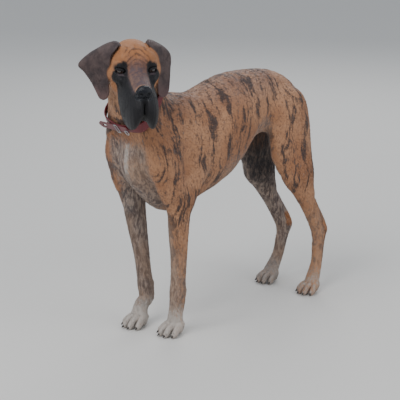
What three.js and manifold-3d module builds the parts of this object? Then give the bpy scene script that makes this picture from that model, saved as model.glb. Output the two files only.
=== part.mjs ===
// A great dane, life size, standing with its head turned to its left.
// Millimetres, +Z up. The dog faces -Y and its left side is +X.
// Points are written [left, forward, up], measured from the floor under the middle of the body.
//
// The body is one smooth form: muscles and bones are swept ellipses and ellipsoids that melt together.
// The form is turned into triangles piece by piece and parted with thin plane cuts.
import * as THREE from 'three';
import { mergeVertices } from 'three/addons/utils/BufferGeometryUtils.js';
import Module from 'manifold-3d';

const wasm = await Module();
wasm.setup();

// Driving sizes
const CUT_GAP = 0.6;
const EYE_RADIUS = 12;
const SWEEP_STEPS = 3;

// How far each toe, from the inner one outwards, lies to the side of its paw's middle and ahead of it
const TOE_SPREAD = [-29, -10.5, 10.5, 29];
const TOE_REACH = [30, 47, 47, 30];

// Where the head is carried: the midpoint between the eyes, and how far it is turned
const HEAD_AT = [116, 490, 932];
const HEAD_YAW = 59;
const HEAD_PITCH = -12;
const HEAD_ROLL = 0;

const degrees = (angle) => (angle * Math.PI) / 180;
const point = ([left, forward, up]) => new THREE.Vector3(left, -forward, up);
const mix = (a, b, t) => a + (b - a) * t;

// Smooth joins

// Two distances melted together over a width of `blend`.
function melt(a, b, blend) {
  const h = Math.max(blend - Math.abs(a - b), 0) / blend;
  return Math.min(a, b) - (h * h * blend) / 4;
}

// `b` scooped out of `a` with a rounded rim.
function scoop(a, b, blend) {
  return -melt(-a, b, blend);
}

// Shapes, each a function of a point that gives the distance to its surface

function catmullRom(a, b, c, d, t) {
  const t2 = t * t;
  const t3 = t2 * t;
  return 0.5 * (2 * b + (c - a) * t + (2 * a - 5 * b + 4 * c - d) * t2 + (3 * b - a - 3 * c + d) * t3);
}

// Rows of numbers, with smooth rows put in between.
function smoothRows(rows, steps = SWEEP_STEPS) {
  const at = (i) => rows[Math.min(Math.max(i, 0), rows.length - 1)];
  const out = [];
  for (let i = 0; i < rows.length - 1; i++) {
    for (let s = 0; s < steps; s++) {
      const [a, b, c, d] = [at(i - 1), at(i), at(i + 1), at(i + 2)];
      out.push(a.map((_, n) => catmullRom(a[n], b[n], c[n], d[n], s / steps)));
    }
  }
  out.push([...rows[rows.length - 1]]);
  return out;
}

// Distance to an ellipse, from the offsets along its two half axes.
function ellipseDistance(u, v, a, b) {
  const k0 = Math.hypot(u / a, v / b);
  const k1 = Math.hypot(u / (a * a), v / (b * b));
  return k1 < 1e-9 ? -Math.min(a, b) : (k0 * (k0 - 1)) / k1;
}

// An ellipse swept along stations [left, forward, up, half width, half depth]. The half width lies along
// the dog's left.
function sweep(blend, stations) {
  const rows = smoothRows(stations).map((r) => ({ at: point(r), a: r[3], b: r[4] }));
  const reach = Math.max(...rows.map((r) => Math.max(r.a, r.b)));
  const box = new THREE.Box3().setFromPoints(rows.map((r) => r.at)).expandByScalar(reach);
  const way = rows.slice(1).map((r, i) => r.at.clone().sub(rows[i].at));
  const square = way.map((w) => w.lengthSq());
  const distance = (x, y, z) => {
    let best = Infinity;
    for (let i = 0; i < way.length; i++) {
      const { at, a, b } = rows[i];
      const w = way[i];
      const px = x - at.x;
      const py = y - at.y;
      const pz = z - at.z;
      const t = Math.min(Math.max((px * w.x + py * w.y + pz * w.z) / square[i], 0), 1);
      const dx = px - w.x * t;
      const dy = py - w.y * t;
      const dz = pz - w.z * t;
      const v = Math.hypot(dy, dz);
      best = Math.min(best, ellipseDistance(dx, v, mix(a, rows[i + 1].a, t), mix(b, rows[i + 1].b, t)));
    }
    return best;
  };
  return { blend, distance, box };
}

// An ellipsoid with half sizes [left, forward, up].
function blob(blend, centre, half) {
  const c = point(centre);
  const box = new THREE.Box3().setFromCenterAndSize(c, new THREE.Vector3().setScalar(2 * Math.max(...half)));
  const distance = (x, y, z) => {
    const l = x - c.x;
    const f = y - c.y;
    const u = z - c.z;
    const k0 = Math.hypot(l / half[0], f / half[1], u / half[2]);
    const k1 = Math.hypot(l / half[0] ** 2, f / half[1] ** 2, u / half[2] ** 2);
    return k1 < 1e-9 ? -Math.min(...half) : (k0 * (k0 - 1)) / k1;
  };
  return { blend, distance, box };
}

const hollow = (shape) => ({ ...shape, hollow: true });

// The distance to a list of shapes melted together in order.
function formOf(shapes) {
  return (x, y, z) => {
    let d = 1e3;
    for (const s of shapes) {
      const away = s.box.distanceToPoint(probe.set(x, y, z));
      if (s.hollow) {
        if (away < s.blend) d = scoop(d, s.distance(x, y, z), s.blend);
      } else if (away < d + s.blend) {
        d = melt(d, s.distance(x, y, z), s.blend);
      }
    }
    return d;
  };
}
const probe = new THREE.Vector3();

// The trunk: rib cage, loin and croup, with the keel of the chest and the front of the breastbone
const trunk = [
  sweep(30, [
    [0, 348, 608, 82, 94],
    [0, 285, 612, 98, 148],
    [0, 200, 622, 116, 172],
    [0, 90, 644, 126, 172],
    [0, -20, 710, 120, 137],
    [0, -110, 730, 104, 120],
    [0, -190, 730, 94, 112],
    [0, -250, 720, 86, 96],
    [0, -292, 708, 66, 68],
  ]),
  sweep(40, [
    [0, 352, 556, 34, 44],
    [0, 300, 486, 42, 54],
    [0, 240, 464, 44, 54],
    [0, 175, 482, 46, 50],
    [0, 90, 526, 50, 44],
    [0, 40, 562, 48, 40],
  ]),
  blob(40, [0, 385, 590], [44, 34, 48]),
];

// The neck, with the muscle that runs from behind the jaw to the point of each shoulder
const neckMuscle = (s, left, forward) => sweep(40, [
  [s * 30 + 14, 428, 850, 34, 38],
  [s * 48 + left, 408 + forward, 770, 38, 40],
  [s * 88, 388, 690, 42, 50],
  [s * 100, 366, 630, 38, 46],
]);
const neck = [
  sweep(50, [
    [0, 250, 664, 80, 118],
    [0, 312, 710, 86, 108],
    [0, 366, 762, 86, 98],
    [8, 398, 820, 80, 88],
    [18, 414, 876, 70, 76],
    [24, 420, 926, 60, 62],
  ]),
  neckMuscle(1, 0, 0),
  neckMuscle(-1, -4, 2),
];

// A foreleg. `side` is 1 on the left; `elbow`, `wrist` and `paw` are the middles of those joints.
function foreleg(side, elbow, wrist, paw) {
  const s = side;
  const at = (t, ahead = 0) => [
    s * mix(elbow[0], wrist[0], t),
    mix(elbow[1], wrist[1], t) + ahead,
    mix(elbow[2], wrist[2], t),
  ];
  return {
    shoulder: [
      sweep(36, [
        [s * 38, 215, 752, 26, 48],
        [s * 70, 280, 704, 34, 70],
        [s * 94, 340, 650, 38, 60],
        [s * 104, 370, 612, 38, 46],
      ]),
      sweep(34, [
        [s * 104, 368, 620, 40, 48],
        [s * 109, mix(368, elbow[1], 0.4), 542, 40, 60],
        [s * elbow[0], elbow[1] + 8, elbow[2] + 12, 34, 46],
      ]),
      sweep(30, [
        [s * 88, 210, 640, 30, 60],
        [s * 104, 240, 540, 30, 52],
        [s * elbow[0], elbow[1] - 28, elbow[2] + 16, 26, 28],
      ]),
    ],
    limb: [
      sweep(16, [
        [...at(0, 4), 34, 45],
        [...at(0.28, 4), 32, 38],
        [...at(0.6), 27, 30],
        [...at(0.86), 26, 27],
        [...at(1), 29, 29],
        [...at(1.14, 2), 27, 27],
        [s * mix(wrist[0], paw[0], 0.6), mix(wrist[1], paw[1], 0.5), 74, 26, 25],
        [s * paw[0], paw[1] - 6, 44, 32, 26],
      ]),
      blob(14, [s * elbow[0], elbow[1] - 38, elbow[2] + 14], [15, 18, 22]),
      blob(8, at(1, -26), [12, 10, 14]),
    ],
    foot: toes(side, paw, 1),
  };
}

// The four toes and the pad of one paw, which faces forward.
function toes(side, paw, size) {
  const reach = TOE_REACH;
  const shapes = TOE_SPREAD.map((out, i) => {
    const fan = out * 1.18;
    const l = (amount) => side * (paw[0] + amount * size);
    return sweep(6, [
      [l(out * 0.72), paw[1] - 14 * size, 34 * size, 12 * size, 16 * size],
      [l(out), paw[1] + (reach[i] - 22) * size, 29 * size, 10.5 * size, 13 * size],
      [l(fan), paw[1] + (reach[i] - 4) * size, 16 * size, 10.5 * size, 13 * size],
      [l(fan), paw[1] + (reach[i] + 2) * size, 8 * size, 8 * size, 8 * size],
    ]);
  });
  shapes.push(blob(12, [side * paw[0], paw[1] - 10, 14], [27 * size, 24 * size, 17 * size]));
  return shapes;
}

// A hind leg, from the hip down. `knee` and `hock` are the middles of those joints.
function hindleg(side, hip, knee, hock, paw) {
  const s = side;
  const at = (t, ahead = 0) => [
    s * mix(knee[0], hock[0], t),
    mix(knee[1], hock[1], t) + ahead,
    mix(knee[2], hock[2], t),
  ];
  return {
    thigh: [
      sweep(34, [
        [s * hip[0], hip[1], hip[2] + 14, 44, 92],
        [s * (hip[0] + 4), hip[1] - 12, hip[2] - 100, 45, 92],
        [s * knee[0], knee[1], knee[2] + 8, 37, 64],
      ]),
      sweep(30, [
        [s * 64, -284, 716, 32, 40],
        [s * 78, -296, 640, 36, 42],
        [s * 90, -297, 540, 34, 40],
        [...at(0.3, -8), 22, 30],
      ]),
    ],
    shank: [
      sweep(24, [
        [...at(0, 0), 35, 60],
        [...at(0.26, 2), 29, 44],
        [...at(0.52, 2), 25, 32],
        [...at(0.78, 2), 22, 27],
        [...at(1, 4), 22, 25],
      ]),
      sweep(12, [
        [...at(0.5, -20), 14, 18],
        [s * hock[0], hock[1] - 22, hock[2] + 36, 9, 10],
        [s * hock[0], hock[1] - 28, hock[2] + 8, 14, 13],
      ]),
      sweep(16, [
        [s * hock[0], hock[1] - 6, hock[2] - 2, 24, 27],
        [s * mix(hock[0], paw[0], 0.25), mix(hock[1], paw[1] - 26, 0.25) - 2, mix(hock[2], 30, 0.25), 22, 25],
        [s * mix(hock[0], paw[0], 0.6), mix(hock[1], paw[1] - 26, 0.6), mix(hock[2], 30, 0.6), 21, 22],
        [s * paw[0], paw[1] - 8, 42, 30, 24],
      ]),
    ],
    foot: toes(side, paw, 0.94),
  };
}

// Where the paws stand
const FORE_LEFT = [80, 304];
const FORE_RIGHT = [62, 342];
const HIND_LEFT = [112, -350];
const HIND_RIGHT = [80, -332];

const foreLeft = foreleg(1, [102, 292, 452], [86, 290, 150], FORE_LEFT);
const foreRight = foreleg(-1, [106, 314, 452], [69, 300, 140], FORE_RIGHT);
const hindLeft = hindleg(1, [78, -246, 665], [102, -280, 462], [104, -398, 224], HIND_LEFT);
const hindRight = hindleg(-1, [78, -248, 660], [92, -276, 452], [86, -412, 202], HIND_RIGHT);

// The tail hangs close behind the thighs.
const tail = [
  sweep(14, [
    [0, -322, 738, 26, 28],
    [0, -362, 712, 22, 24],
    [0, -384, 650, 18, 19],
    [2, -394, 560, 15, 16],
    [4, -408, 450, 12, 13],
    [6, -424, 350, 9, 10],
    [8, -444, 272, 6, 7],
  ]),
];

// The head, in its own frame: the origin is between the eyes and forward is along the muzzle.
// Both sides are alike, so shapes are on the left and the point's side is folded over.
const skull = [
  blob(20, [0, -62, 14], [67, 82, 60]),
  blob(18, [26, -18, 34], [36, 44, 36]),
  blob(20, [0, 4, 10], [38, 36, 34]),
  blob(20, [46, -42, 8], [31, 52, 42]),
  blob(8, [46, 2, 23], [19, 16, 10]),
  sweep(14, [
    [50, 30, -22, 11, 14],
    [67, -8, -17, 12, 16],
    [71, -56, -8, 12, 18],
  ]),
  blob(20, [50, -46, -44], [27, 50, 46]),
  sweep(16, [
    [0, 8, -10, 40, 30],
    [0, 70, -14, 33, 28],
    [0, 138, -14, 28, 26],
  ]),
  sweep(18, [
    [0, 4, -42, 50, 38],
    [0, 70, -52, 47, 46],
    [0, 126, -54, 41, 44],
  ]),
  sweep(12, [
    [44, -6, -70, 13, 34],
    [43, 46, -84, 15, 50],
    [38, 96, -88, 18, 58],
    [28, 132, -82, 18, 56],
    [13, 150, -62, 14, 42],
  ]),
  sweep(16, [
    [0, -50, -78, 42, 28],
    [0, 40, -98, 36, 20],
    [0, 120, -102, 28, 16],
  ]),
  blob(24, [0, -82, -60], [50, 54, 50]),
  blob(6, [0, 158, -7], [25, 18, 21]),
  blob(6, [16, 160, -13], [12, 12, 12]),
];
const EYE_AT = [48.5, 6, 4];
const eyeSocket = hollow(blob(8, [EYE_AT[0] + 10, EYE_AT[1] + 12, EYE_AT[2]], [12, 8, 7]));

const headTurn = new THREE.Matrix4().makeRotationFromEuler(
  new THREE.Euler(degrees(-HEAD_PITCH), degrees(HEAD_ROLL), degrees(HEAD_YAW), 'ZYX'),
);
const headPlace = new THREE.Matrix4().setPosition(point(HEAD_AT)).multiply(headTurn);
const headUnplace = headPlace.clone().invert();
const skullForm = formOf([...skull, eyeSocket]);

function headDistance(x, y, z) {
  const e = headUnplace.elements;
  const l = e[0] * x + e[4] * y + e[8] * z + e[12];
  const f = e[1] * x + e[5] * y + e[9] * z + e[13];
  const u = e[2] * x + e[6] * y + e[10] * z + e[14];
  return skullForm(Math.abs(l), f, u);
}

const bodyShapes = [
  ...trunk,
  ...neck,
  ...[foreLeft, foreRight].flatMap((leg) => [...leg.shoulder, ...leg.limb, ...leg.foot]),
  ...[hindLeft, hindRight].flatMap((leg) => [...leg.thigh, ...leg.shank, ...leg.foot]),
];
const bodyForm = formOf(bodyShapes);
const tailForm = formOf(tail);
const fleshDistance = (x, y, z) => melt(bodyForm(x, y, z), headDistance(x, y, z), 30);

// Triangles from a form

// Surface nets between two corners [left, forward, up] of a box: one vertex in each cell that the
// surface crosses, drawn onto the surface, and a quad across each crossed edge.
function polygonise(distance, low, high, steps) {
  const box = new THREE.Box3().setFromPoints([point(low), point(high)]);
  const size = box.getSize(new THREE.Vector3());
  const n = ['x', 'y', 'z'].map((k, i) => Math.ceil(size[k] / steps[i]) + 1);
  const index = (i, j, k) => (k * n[1] + j) * n[0] + i;
  const values = new Float64Array(n[0] * n[1] * n[2]);
  for (let k = 0; k < n[2]; k++) {
    for (let j = 0; j < n[1]; j++) {
      for (let i = 0; i < n[0]; i++) {
        const rim = i * j * k === 0 || i === n[0] - 1 || j === n[1] - 1 || k === n[2] - 1;
        const d = distance(box.min.x + i * steps[0], box.min.y + j * steps[1], box.min.z + k * steps[2]);
        values[index(i, j, k)] = rim ? Math.max(d, 1) : d;
      }
    }
  }
  while (joinDiagonals(values, n) > 0);
  const positions = [];
  const cell = new Int32Array(values.length).fill(-1);
  const corners = [0, 1, 2, 3, 4, 5, 6, 7].map((c) => [c & 1, (c >> 1) & 1, c >> 2]);
  const bits = [1, 2, 4];
  const edges = corners.flatMap((_, a) => bits.filter((bit) => !(a & bit)).map((bit) => [a, a | bit]));
  const jump = corners.map(([a, b, c]) => index(a, b, c));
  const at = new THREE.Vector3();
  for (let k = 0; k < n[2] - 1; k++) {
    for (let j = 0; j < n[1] - 1; j++) {
      for (let i = 0; i < n[0] - 1; i++) {
        const here = index(i, j, k);
        at.set(0, 0, 0);
        let count = 0;
        for (const [a, b] of edges) {
          const va = values[here + jump[a]];
          const vb = values[here + jump[b]];
          if (va < 0 === vb < 0) continue;
          const t = va / (va - vb);
          at.x += mix(corners[a][0], corners[b][0], t);
          at.y += mix(corners[a][1], corners[b][1], t);
          at.z += mix(corners[a][2], corners[b][2], t);
          count++;
        }
        if (count === 0) continue;
        cell[here] = positions.length / 3;
        at.divideScalar(count);
        at.set((i + at.x) * steps[0], (j + at.y) * steps[1], (k + at.z) * steps[2]).add(box.min);
        drawOnto(distance, at, 0.4 * Math.min(...steps));
        positions.push(at.x, at.y, at.z);
      }
    }
  }
  const triangles = [];
  const quad = (a, b, c, d, flip) => triangles.push(...(flip ? [a, c, b, a, d, c] : [a, b, c, a, c, d]));
  for (let k = 0; k < n[2] - 1; k++) {
    for (let j = 0; j < n[1] - 1; j++) {
      for (let i = 0; i < n[0] - 1; i++) {
        const inside = values[index(i, j, k)] < 0;
        const crosses = (a, b, c) => inside !== values[index(i + a, j + b, k + c)] < 0;
        const of = (a, b, c) => cell[index(i - a, j - b, k - c)];
        if (crosses(1, 0, 0)) quad(of(0, 1, 1), of(0, 0, 1), of(0, 0, 0), of(0, 1, 0), !inside);
        if (crosses(0, 1, 0)) quad(of(1, 0, 1), of(1, 0, 0), of(0, 0, 0), of(0, 0, 1), !inside);
        if (crosses(0, 0, 1)) quad(of(1, 1, 0), of(0, 1, 0), of(0, 0, 0), of(1, 0, 0), !inside);
      }
    }
  }
  const geometry = new THREE.BufferGeometry();
  geometry.setAttribute('position', new THREE.Float32BufferAttribute(positions, 3));
  geometry.setIndex(triangles);
  return geometry;
}

// Where two opposite corners of a grid square are inside and the other two outside, takes one more inside.
function joinDiagonals(values, n) {
  const stride = [1, n[0], n[0] * n[1]];
  let joined = 0;
  for (let here = 0; here < values.length - stride[1] - stride[2]; here++) {
    for (const [a, b] of [[0, 1], [0, 2], [1, 2]]) {
      const square = [here, here + stride[a], here + stride[a] + stride[b], here + stride[b]];
      const inside = square.map((v) => values[v] < 0);
      if (inside[0] !== inside[2] || inside[1] !== inside[3] || inside[0] === inside[1]) continue;
      const [c, d] = inside[0] ? [square[1], square[3]] : [square[0], square[2]];
      values[values[c] < values[d] ? c : d] = -0.01;
      joined++;
    }
  }
  return joined;
}

// Moves `at` onto the surface, by no more than `most`.
function drawOnto(distance, at, most) {
  const start = at.clone();
  const h = 0.5;
  for (let pass = 0; pass < 2; pass++) {
    const d = distance(at.x, at.y, at.z);
    const slope = new THREE.Vector3(
      distance(at.x + h, at.y, at.z) - distance(at.x - h, at.y, at.z),
      distance(at.x, at.y + h, at.z) - distance(at.x, at.y - h, at.z),
      distance(at.x, at.y, at.z + h) - distance(at.x, at.y, at.z - h),
    ).divideScalar(2 * h);
    at.addScaledVector(slope, -d / Math.max(slope.lengthSq(), 0.3));
  }
  at.sub(start).clampLength(0, most).add(start);
}

// Solids, cut and joined as closed bodies

function solid(geometry) {
  const mesh = new wasm.Mesh({
    numProp: 3,
    vertProperties: new Float32Array(geometry.attributes.position.array),
    triVerts: new Uint32Array(geometry.index.array),
  });
  mesh.merge();
  return new wasm.Manifold(mesh);
}

// The half of `body` ahead of a plane through `at` [left, forward, up] that faces `ahead`.
function keep(body, at, ahead) {
  const n = point(ahead).normalize();
  return body.trimByPlane([n.x, n.y, n.z], point(at).dot(n) + CUT_GAP / 2);
}

const behind = (body, at, ahead) => keep(body, at, ahead.map((v) => -v));
const biggest = (body) => body.decompose().sort((a, b) => b.volume() - a.volume())[0];

// The room that a body needs with a gap all round it.
function roomFor(body) {
  const g = CUT_GAP * 0.6;
  const ways = [-g, g].flatMap((x) => [-g, g].flatMap((y) => [-g, g].map((z) => [x, y, z])));
  return ways.map((way) => body.translate(way)).reduce((sum, copy) => sum.add(copy), body);
}

// A tilted block that takes in a whole leg. It leaves out the trunk above and inside its upper face.
function legBlock(side, at, ahead, front, back, grow) {
  const n = point([side * ahead[0], 0, ahead[1]]).normalize();
  const depth = front - back + 2 * grow;
  const block = new THREE.BoxGeometry(900, depth, 900);
  const middle = point([side * at[0], (front + back) / 2, at[1]]).addScaledVector(n, 450 - grow);
  block.applyQuaternion(new THREE.Quaternion().setFromUnitVectors(new THREE.Vector3(1, 0, 0), n));
  block.translate(middle.x, middle.y, middle.z);
  return solid(mergeVertices(stripped(block)));
}

function stripped(geometry) {
  const plain = new THREE.BufferGeometry();
  plain.setAttribute('position', geometry.attributes.position);
  plain.setIndex(geometry.index);
  return plain;
}

const foreBlock = (side, grow) => legBlock(side, [50, 415], [160, -100], 520, 120, grow);
const hindBlock = (side, grow) => legBlock(side, [30, 560], [140, -90], -112, -620, grow);

// A closed skin over rings of points, each ring the same length, ends closed by a fan.
function closedRings(rings) {
  const count = rings[0].length;
  const positions = rings.flat().flatMap((p) => [p.x, p.y, p.z]);
  const triangles = [];
  for (let r = 0; r < rings.length - 1; r++) {
    for (let i = 0; i < count; i++) {
      const a = r * count + i;
      const b = r * count + ((i + 1) % count);
      triangles.push(a, b, b + count, a, b + count, a + count);
    }
  }
  const ends = [
    [0, rings[0], true],
    [(rings.length - 1) * count, rings[rings.length - 1], false],
  ];
  for (const [first, ring, flip] of ends) {
    const middle = ring.reduce((sum, p) => sum.add(p), new THREE.Vector3()).divideScalar(count);
    const m = positions.length / 3;
    positions.push(middle.x, middle.y, middle.z);
    for (let i = 0; i < count; i++) {
      const a = first + i;
      const b = first + ((i + 1) % count);
      triangles.push(...(flip ? [m, b, a] : [m, a, b]));
    }
  }
  const geometry = new THREE.BufferGeometry();
  geometry.setAttribute('position', new THREE.Float32BufferAttribute(positions, 3));
  geometry.setIndex(triangles);
  return outward(geometry);
}

// Turns the triangles round if they face inward.
function outward(geometry) {
  const p = geometry.attributes.position;
  const t = geometry.index.array;
  const [a, b, c] = [0, 1, 2].map(() => new THREE.Vector3());
  let volume = 0;
  for (let i = 0; i < t.length; i += 3) {
    a.fromBufferAttribute(p, t[i]);
    b.fromBufferAttribute(p, t[i + 1]);
    c.fromBufferAttribute(p, t[i + 2]);
    volume += a.dot(b.cross(c));
  }
  if (volume < 0) for (let i = 0; i < t.length; i += 3) [t[i], t[i + 1]] = [t[i + 1], t[i]];
  return geometry;
}

// Ears: sheets of leather, in the head's frame. Each row runs from the front edge over the middle to the
// back edge.
const EAR_THICKNESS = 5;
const EAR_ROOT = [[42, -34, 60], [42, -66, 54], [50, -100, 36]];
const rightEar = [
  EAR_ROOT,
  [[50, -30, 72], [54, -62, 72], [62, -96, 50]],
  [[60, -20, 65], [80, -56, 66], [92, -95, 44]],
  [[76, -20, 42], [108, -50, 42], [131, -91, 25]],
  [[79, -20, 13], [119, -54, 4], [166, -84, -7]],
  [[79, -24, -23], [114, -52, -32], [148, -80, -31]],
  [[81, -30, -55], [103, -48, -66], [126, -72, -64]],
  [[78, -34, -86], [96, -44, -96], [115, -58, -86]],
  [[84, -38, -106], [95, -44, -112], [106, -50, -105]],
];
const leftEar = [
  EAR_ROOT,
  [[45, -30, 73], [50, -62, 74], [60, -96, 52]],
  [[50, -22, 66], [70, -60, 65], [86, -98, 46]],
  [[61, -20, 50], [93, -60, 47], [121, -92, 20]],
  [[74, -26, 22], [102, -60, 12], [127, -86, -6]],
  [[76, -28, -14], [102, -54, -21], [124, -77, -29]],
  [[77, -28, -52], [100, -49, -59], [122, -69, -68]],
  [[80, -30, -88], [99, -44, -98], [118, -60, -98]],
  [[88, -36, -105], [100, -44, -111], [112, -52, -107]],
];

// The ear's middle surface at `along` rows from the root and `across` from 0 (front) to 1 (back).
function earPoint(side, rows, along, across) {
  const i = Math.min(Math.max(Math.floor(along), 0), rows.length - 2);
  const t = along - i;
  const at = (k) => rows[Math.min(Math.max(k, 0), rows.length - 1)];
  const [a, b, c] = [0, 1, 2].map((m) =>
    [0, 1, 2].map((n) => catmullRom(at(i - 1)[m][n], at(i)[m][n], at(i + 1)[m][n], at(i + 2)[m][n], t)),
  );
  const p = a.map((_, n) => {
    const bend = 2 * b[n] - (a[n] + c[n]) / 2;
    return mix(mix(a[n], bend, across), mix(bend, c[n], across), across);
  });
  return point([side * p[0], p[1], p[2]]).applyMatrix4(headPlace);
}

// An ear as rings round its leather, thinned towards the edges and the tip.
function ear(side, rows) {
  const ALONG = 2;
  const ACROSS = 5;
  const rings = [];
  const last = (rows.length - 1) * ALONG;
  for (let r = 0; r <= last; r++) {
    const face = (way) => {
      const out = [];
      for (let c = 0; c <= ACROSS; c++) {
        const edge = Math.sqrt(Math.max(1 - (2 * c / ACROSS - 1) ** 4, 0));
        const v = c / ACROSS;
        const u = r / ALONG;
        const p = earPoint(side, rows, u, v);
        const du = earPoint(side, rows, u + 0.01, v).sub(earPoint(side, rows, u - 0.01, v));
        const dv = earPoint(side, rows, u, v + 0.01).sub(earPoint(side, rows, u, v - 0.01));
        const thin = r > last - 2 ? 0.8 : 1;
        const half = EAR_THICKNESS * thin * (0.32 + 0.18 * edge);
        out.push(p.addScaledVector(du.cross(dv).normalize(), way * half));
      }
      return out;
    };
    rings.push([...face(1), ...face(-1).reverse()]);
  }
  return solid(closedRings(rings));
}

// A claw: a short horn that runs from `from` towards `way`, drooping and narrowing to its tip.
function claw(from, way, length, radius) {
  const start = point(from);
  const along = point(way).normalize();
  const side = new THREE.Vector3(0, 0, 1).cross(along).normalize();
  const up = along.clone().cross(side);
  const rings = [0, 0.55, 1].map((t) => {
    const middle = start.clone().addScaledVector(along, length * t);
    middle.addScaledVector(up, -length * 0.28 * t * t);
    const r = radius * Math.sqrt(1 - 0.93 * t * t);
    return [0, 1, 2, 3, 4, 5].map((i) => {
      const angle = (i / 6) * 2 * Math.PI;
      const around = side.clone().multiplyScalar(Math.cos(angle) * r * 0.8);
      return middle.clone().add(around).addScaledVector(up, Math.sin(angle) * r);
    });
  });
  return solid(closedRings(rings));
}

const CLAW_LENGTH = 19;
const CLAW_RADIUS = 5;

// The four claws of a paw, from the inner toe outwards, with `fat` added all round.
function claws(side, paw, size, fat = 0) {
  return TOE_SPREAD.map((out, i) => {
    const from = [side * (paw[0] + out * 1.18 * size), paw[1] + (TOE_REACH[i] - 2) * size, 14 * size];
    return claw(from, [side * out * 0.006, 1, -0.18], CLAW_LENGTH * size + fat, CLAW_RADIUS * size + fat);
  });
}

// The collar: a strap that lies round the neck in a plane, low at the throat and high at the nape.
const STRAP_WIDTH = 26;
const STRAP_THICKNESS = 4;
const COLLAR_AT = [0, 378, 0];
const COLLAR_FACES = [0.08, 0.717, 0.697];
const COLLAR_LEVEL = 842;
const COLLAR_SLACK = 1.6;

const collarAlong = point(COLLAR_FACES).normalize();
const collarMiddle = point([
  COLLAR_AT[0],
  COLLAR_AT[1],
  (COLLAR_LEVEL - COLLAR_FACES[1] * COLLAR_AT[1]) / COLLAR_FACES[2],
]);
const collarSide = new THREE.Vector3(1, 0, 0).addScaledVector(collarAlong, -collarAlong.x).normalize();
const collarUp = collarAlong.clone().cross(collarSide);

// How far the neck reaches from the collar's middle at an angle, `shift` along the neck.
function neckReach(angle, shift) {
  const ray = collarSide.clone().multiplyScalar(Math.cos(angle)).addScaledVector(collarUp, Math.sin(angle));
  const start = collarMiddle.clone().addScaledVector(collarAlong, shift);
  let r = 170;
  for (let pass = 0; pass < 30; pass++) {
    const p = start.clone().addScaledVector(ray, r);
    r -= 0.8 * fleshDistance(p.x, p.y, p.z);
  }
  return { start, ray, r };
}

// The strap's section at an angle: four corners, `fat` added all round.
function strapSection(angle, fat = 0) {
  const half = STRAP_WIDTH / 2 + fat;
  const [low, high] = [-half, half].map((shift) => neckReach(angle, shift));
  const r = Math.max(low.r, high.r, neckReach(angle, 0).r);
  const lay = (side, out) => side.start.clone().addScaledVector(side.ray, mix(side.r, r, 0.5) + out);
  const inner = COLLAR_SLACK - fat;
  const outer = COLLAR_SLACK + STRAP_THICKNESS + fat;
  return [lay(low, inner), lay(low, outer), lay(high, outer), lay(high, inner)];
}

function strapRing(fat = 0) {
  const SECTIONS = 32;
  const rings = [];
  for (let i = 0; i < SECTIONS; i++) rings.push(strapSection((i / SECTIONS) * 2 * Math.PI, fat));
  const positions = rings.flat().flatMap((p) => [p.x, p.y, p.z]);
  const triangles = [];
  for (let r = 0; r < SECTIONS; r++) {
    for (let i = 0; i < 4; i++) {
      const a = r * 4 + i;
      const b = r * 4 + ((i + 1) % 4);
      const [c, d] = [a, b].map((v) => (v + 4) % (SECTIONS * 4));
      triangles.push(a, b, d, a, d, c);
    }
  }
  const geometry = new THREE.BufferGeometry();
  geometry.setAttribute('position', new THREE.Float32BufferAttribute(positions, 3));
  geometry.setIndex(triangles);
  return solid(outward(geometry));
}

// The strap's free end: where round the neck the buckle holds it, how far it dips and how far it runs
const TONGUE_ANGLE = 270;
const TONGUE_DIP = 10;
const TONGUE_LENGTH = 108;
const TONGUE_TAIL = 56;
const TONGUE_HALF = 13;
const TONGUE_THICKNESS = 3;

// The frame of the free end, flat against the strap: along it, across it and in towards the neck.
function tongueFrame() {
  const angle = degrees(TONGUE_ANGLE);
  const [, low, high] = strapSection(angle);
  const [, nextLow, nextHigh] = strapSection(angle - 0.05);
  const at = low.clone().add(high).multiplyScalar(0.5);
  const along = nextLow.add(nextHigh).multiplyScalar(0.5).sub(at).normalize();
  const across = high.sub(low);
  across.addScaledVector(along, -across.dot(along)).normalize();
  const inward = along.clone().cross(across);
  for (const way of [along, across]) way.applyAxisAngle(inward, degrees(-TONGUE_DIP));
  at.addScaledVector(inward, -TONGUE_THICKNESS / 2 - 0.7);
  return { at, along, across, inward };
}

function placed(geometry, { at, along, across, inward }, [a, b, c]) {
  geometry.applyMatrix4(new THREE.Matrix4().makeBasis(along, across, inward));
  const to = at.clone().addScaledVector(along, a).addScaledVector(across, b).addScaledVector(inward, c);
  return geometry.translate(to.x, to.y, to.z);
}

// A flat bar along the free end from one distance to another. The far end is pointed over a length `tip`.
function tonguePiece(frame, [from, to], half, thickness, tip) {
  const outline = new THREE.Shape();
  outline.moveTo(from + 6, -half);
  outline.lineTo(to - tip, -half);
  if (tip > 0) outline.quadraticCurveTo(to - tip * 0.3, -half * 0.7, to, 0);
  if (tip > 0) outline.quadraticCurveTo(to - tip * 0.3, half * 0.7, to - tip, half);
  else outline.lineTo(to, half);
  outline.lineTo(from + 6, half);
  outline.quadraticCurveTo(from, half, from, 0);
  outline.quadraticCurveTo(from, -half, from + 6, -half);
  const bar = new THREE.ExtrudeGeometry(outline, { depth: thickness, bevelEnabled: false, curveSegments: 5 });
  return solid(mergeVertices(stripped(placed(bar, frame, [0, 0, -thickness / 2]))));
}

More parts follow.
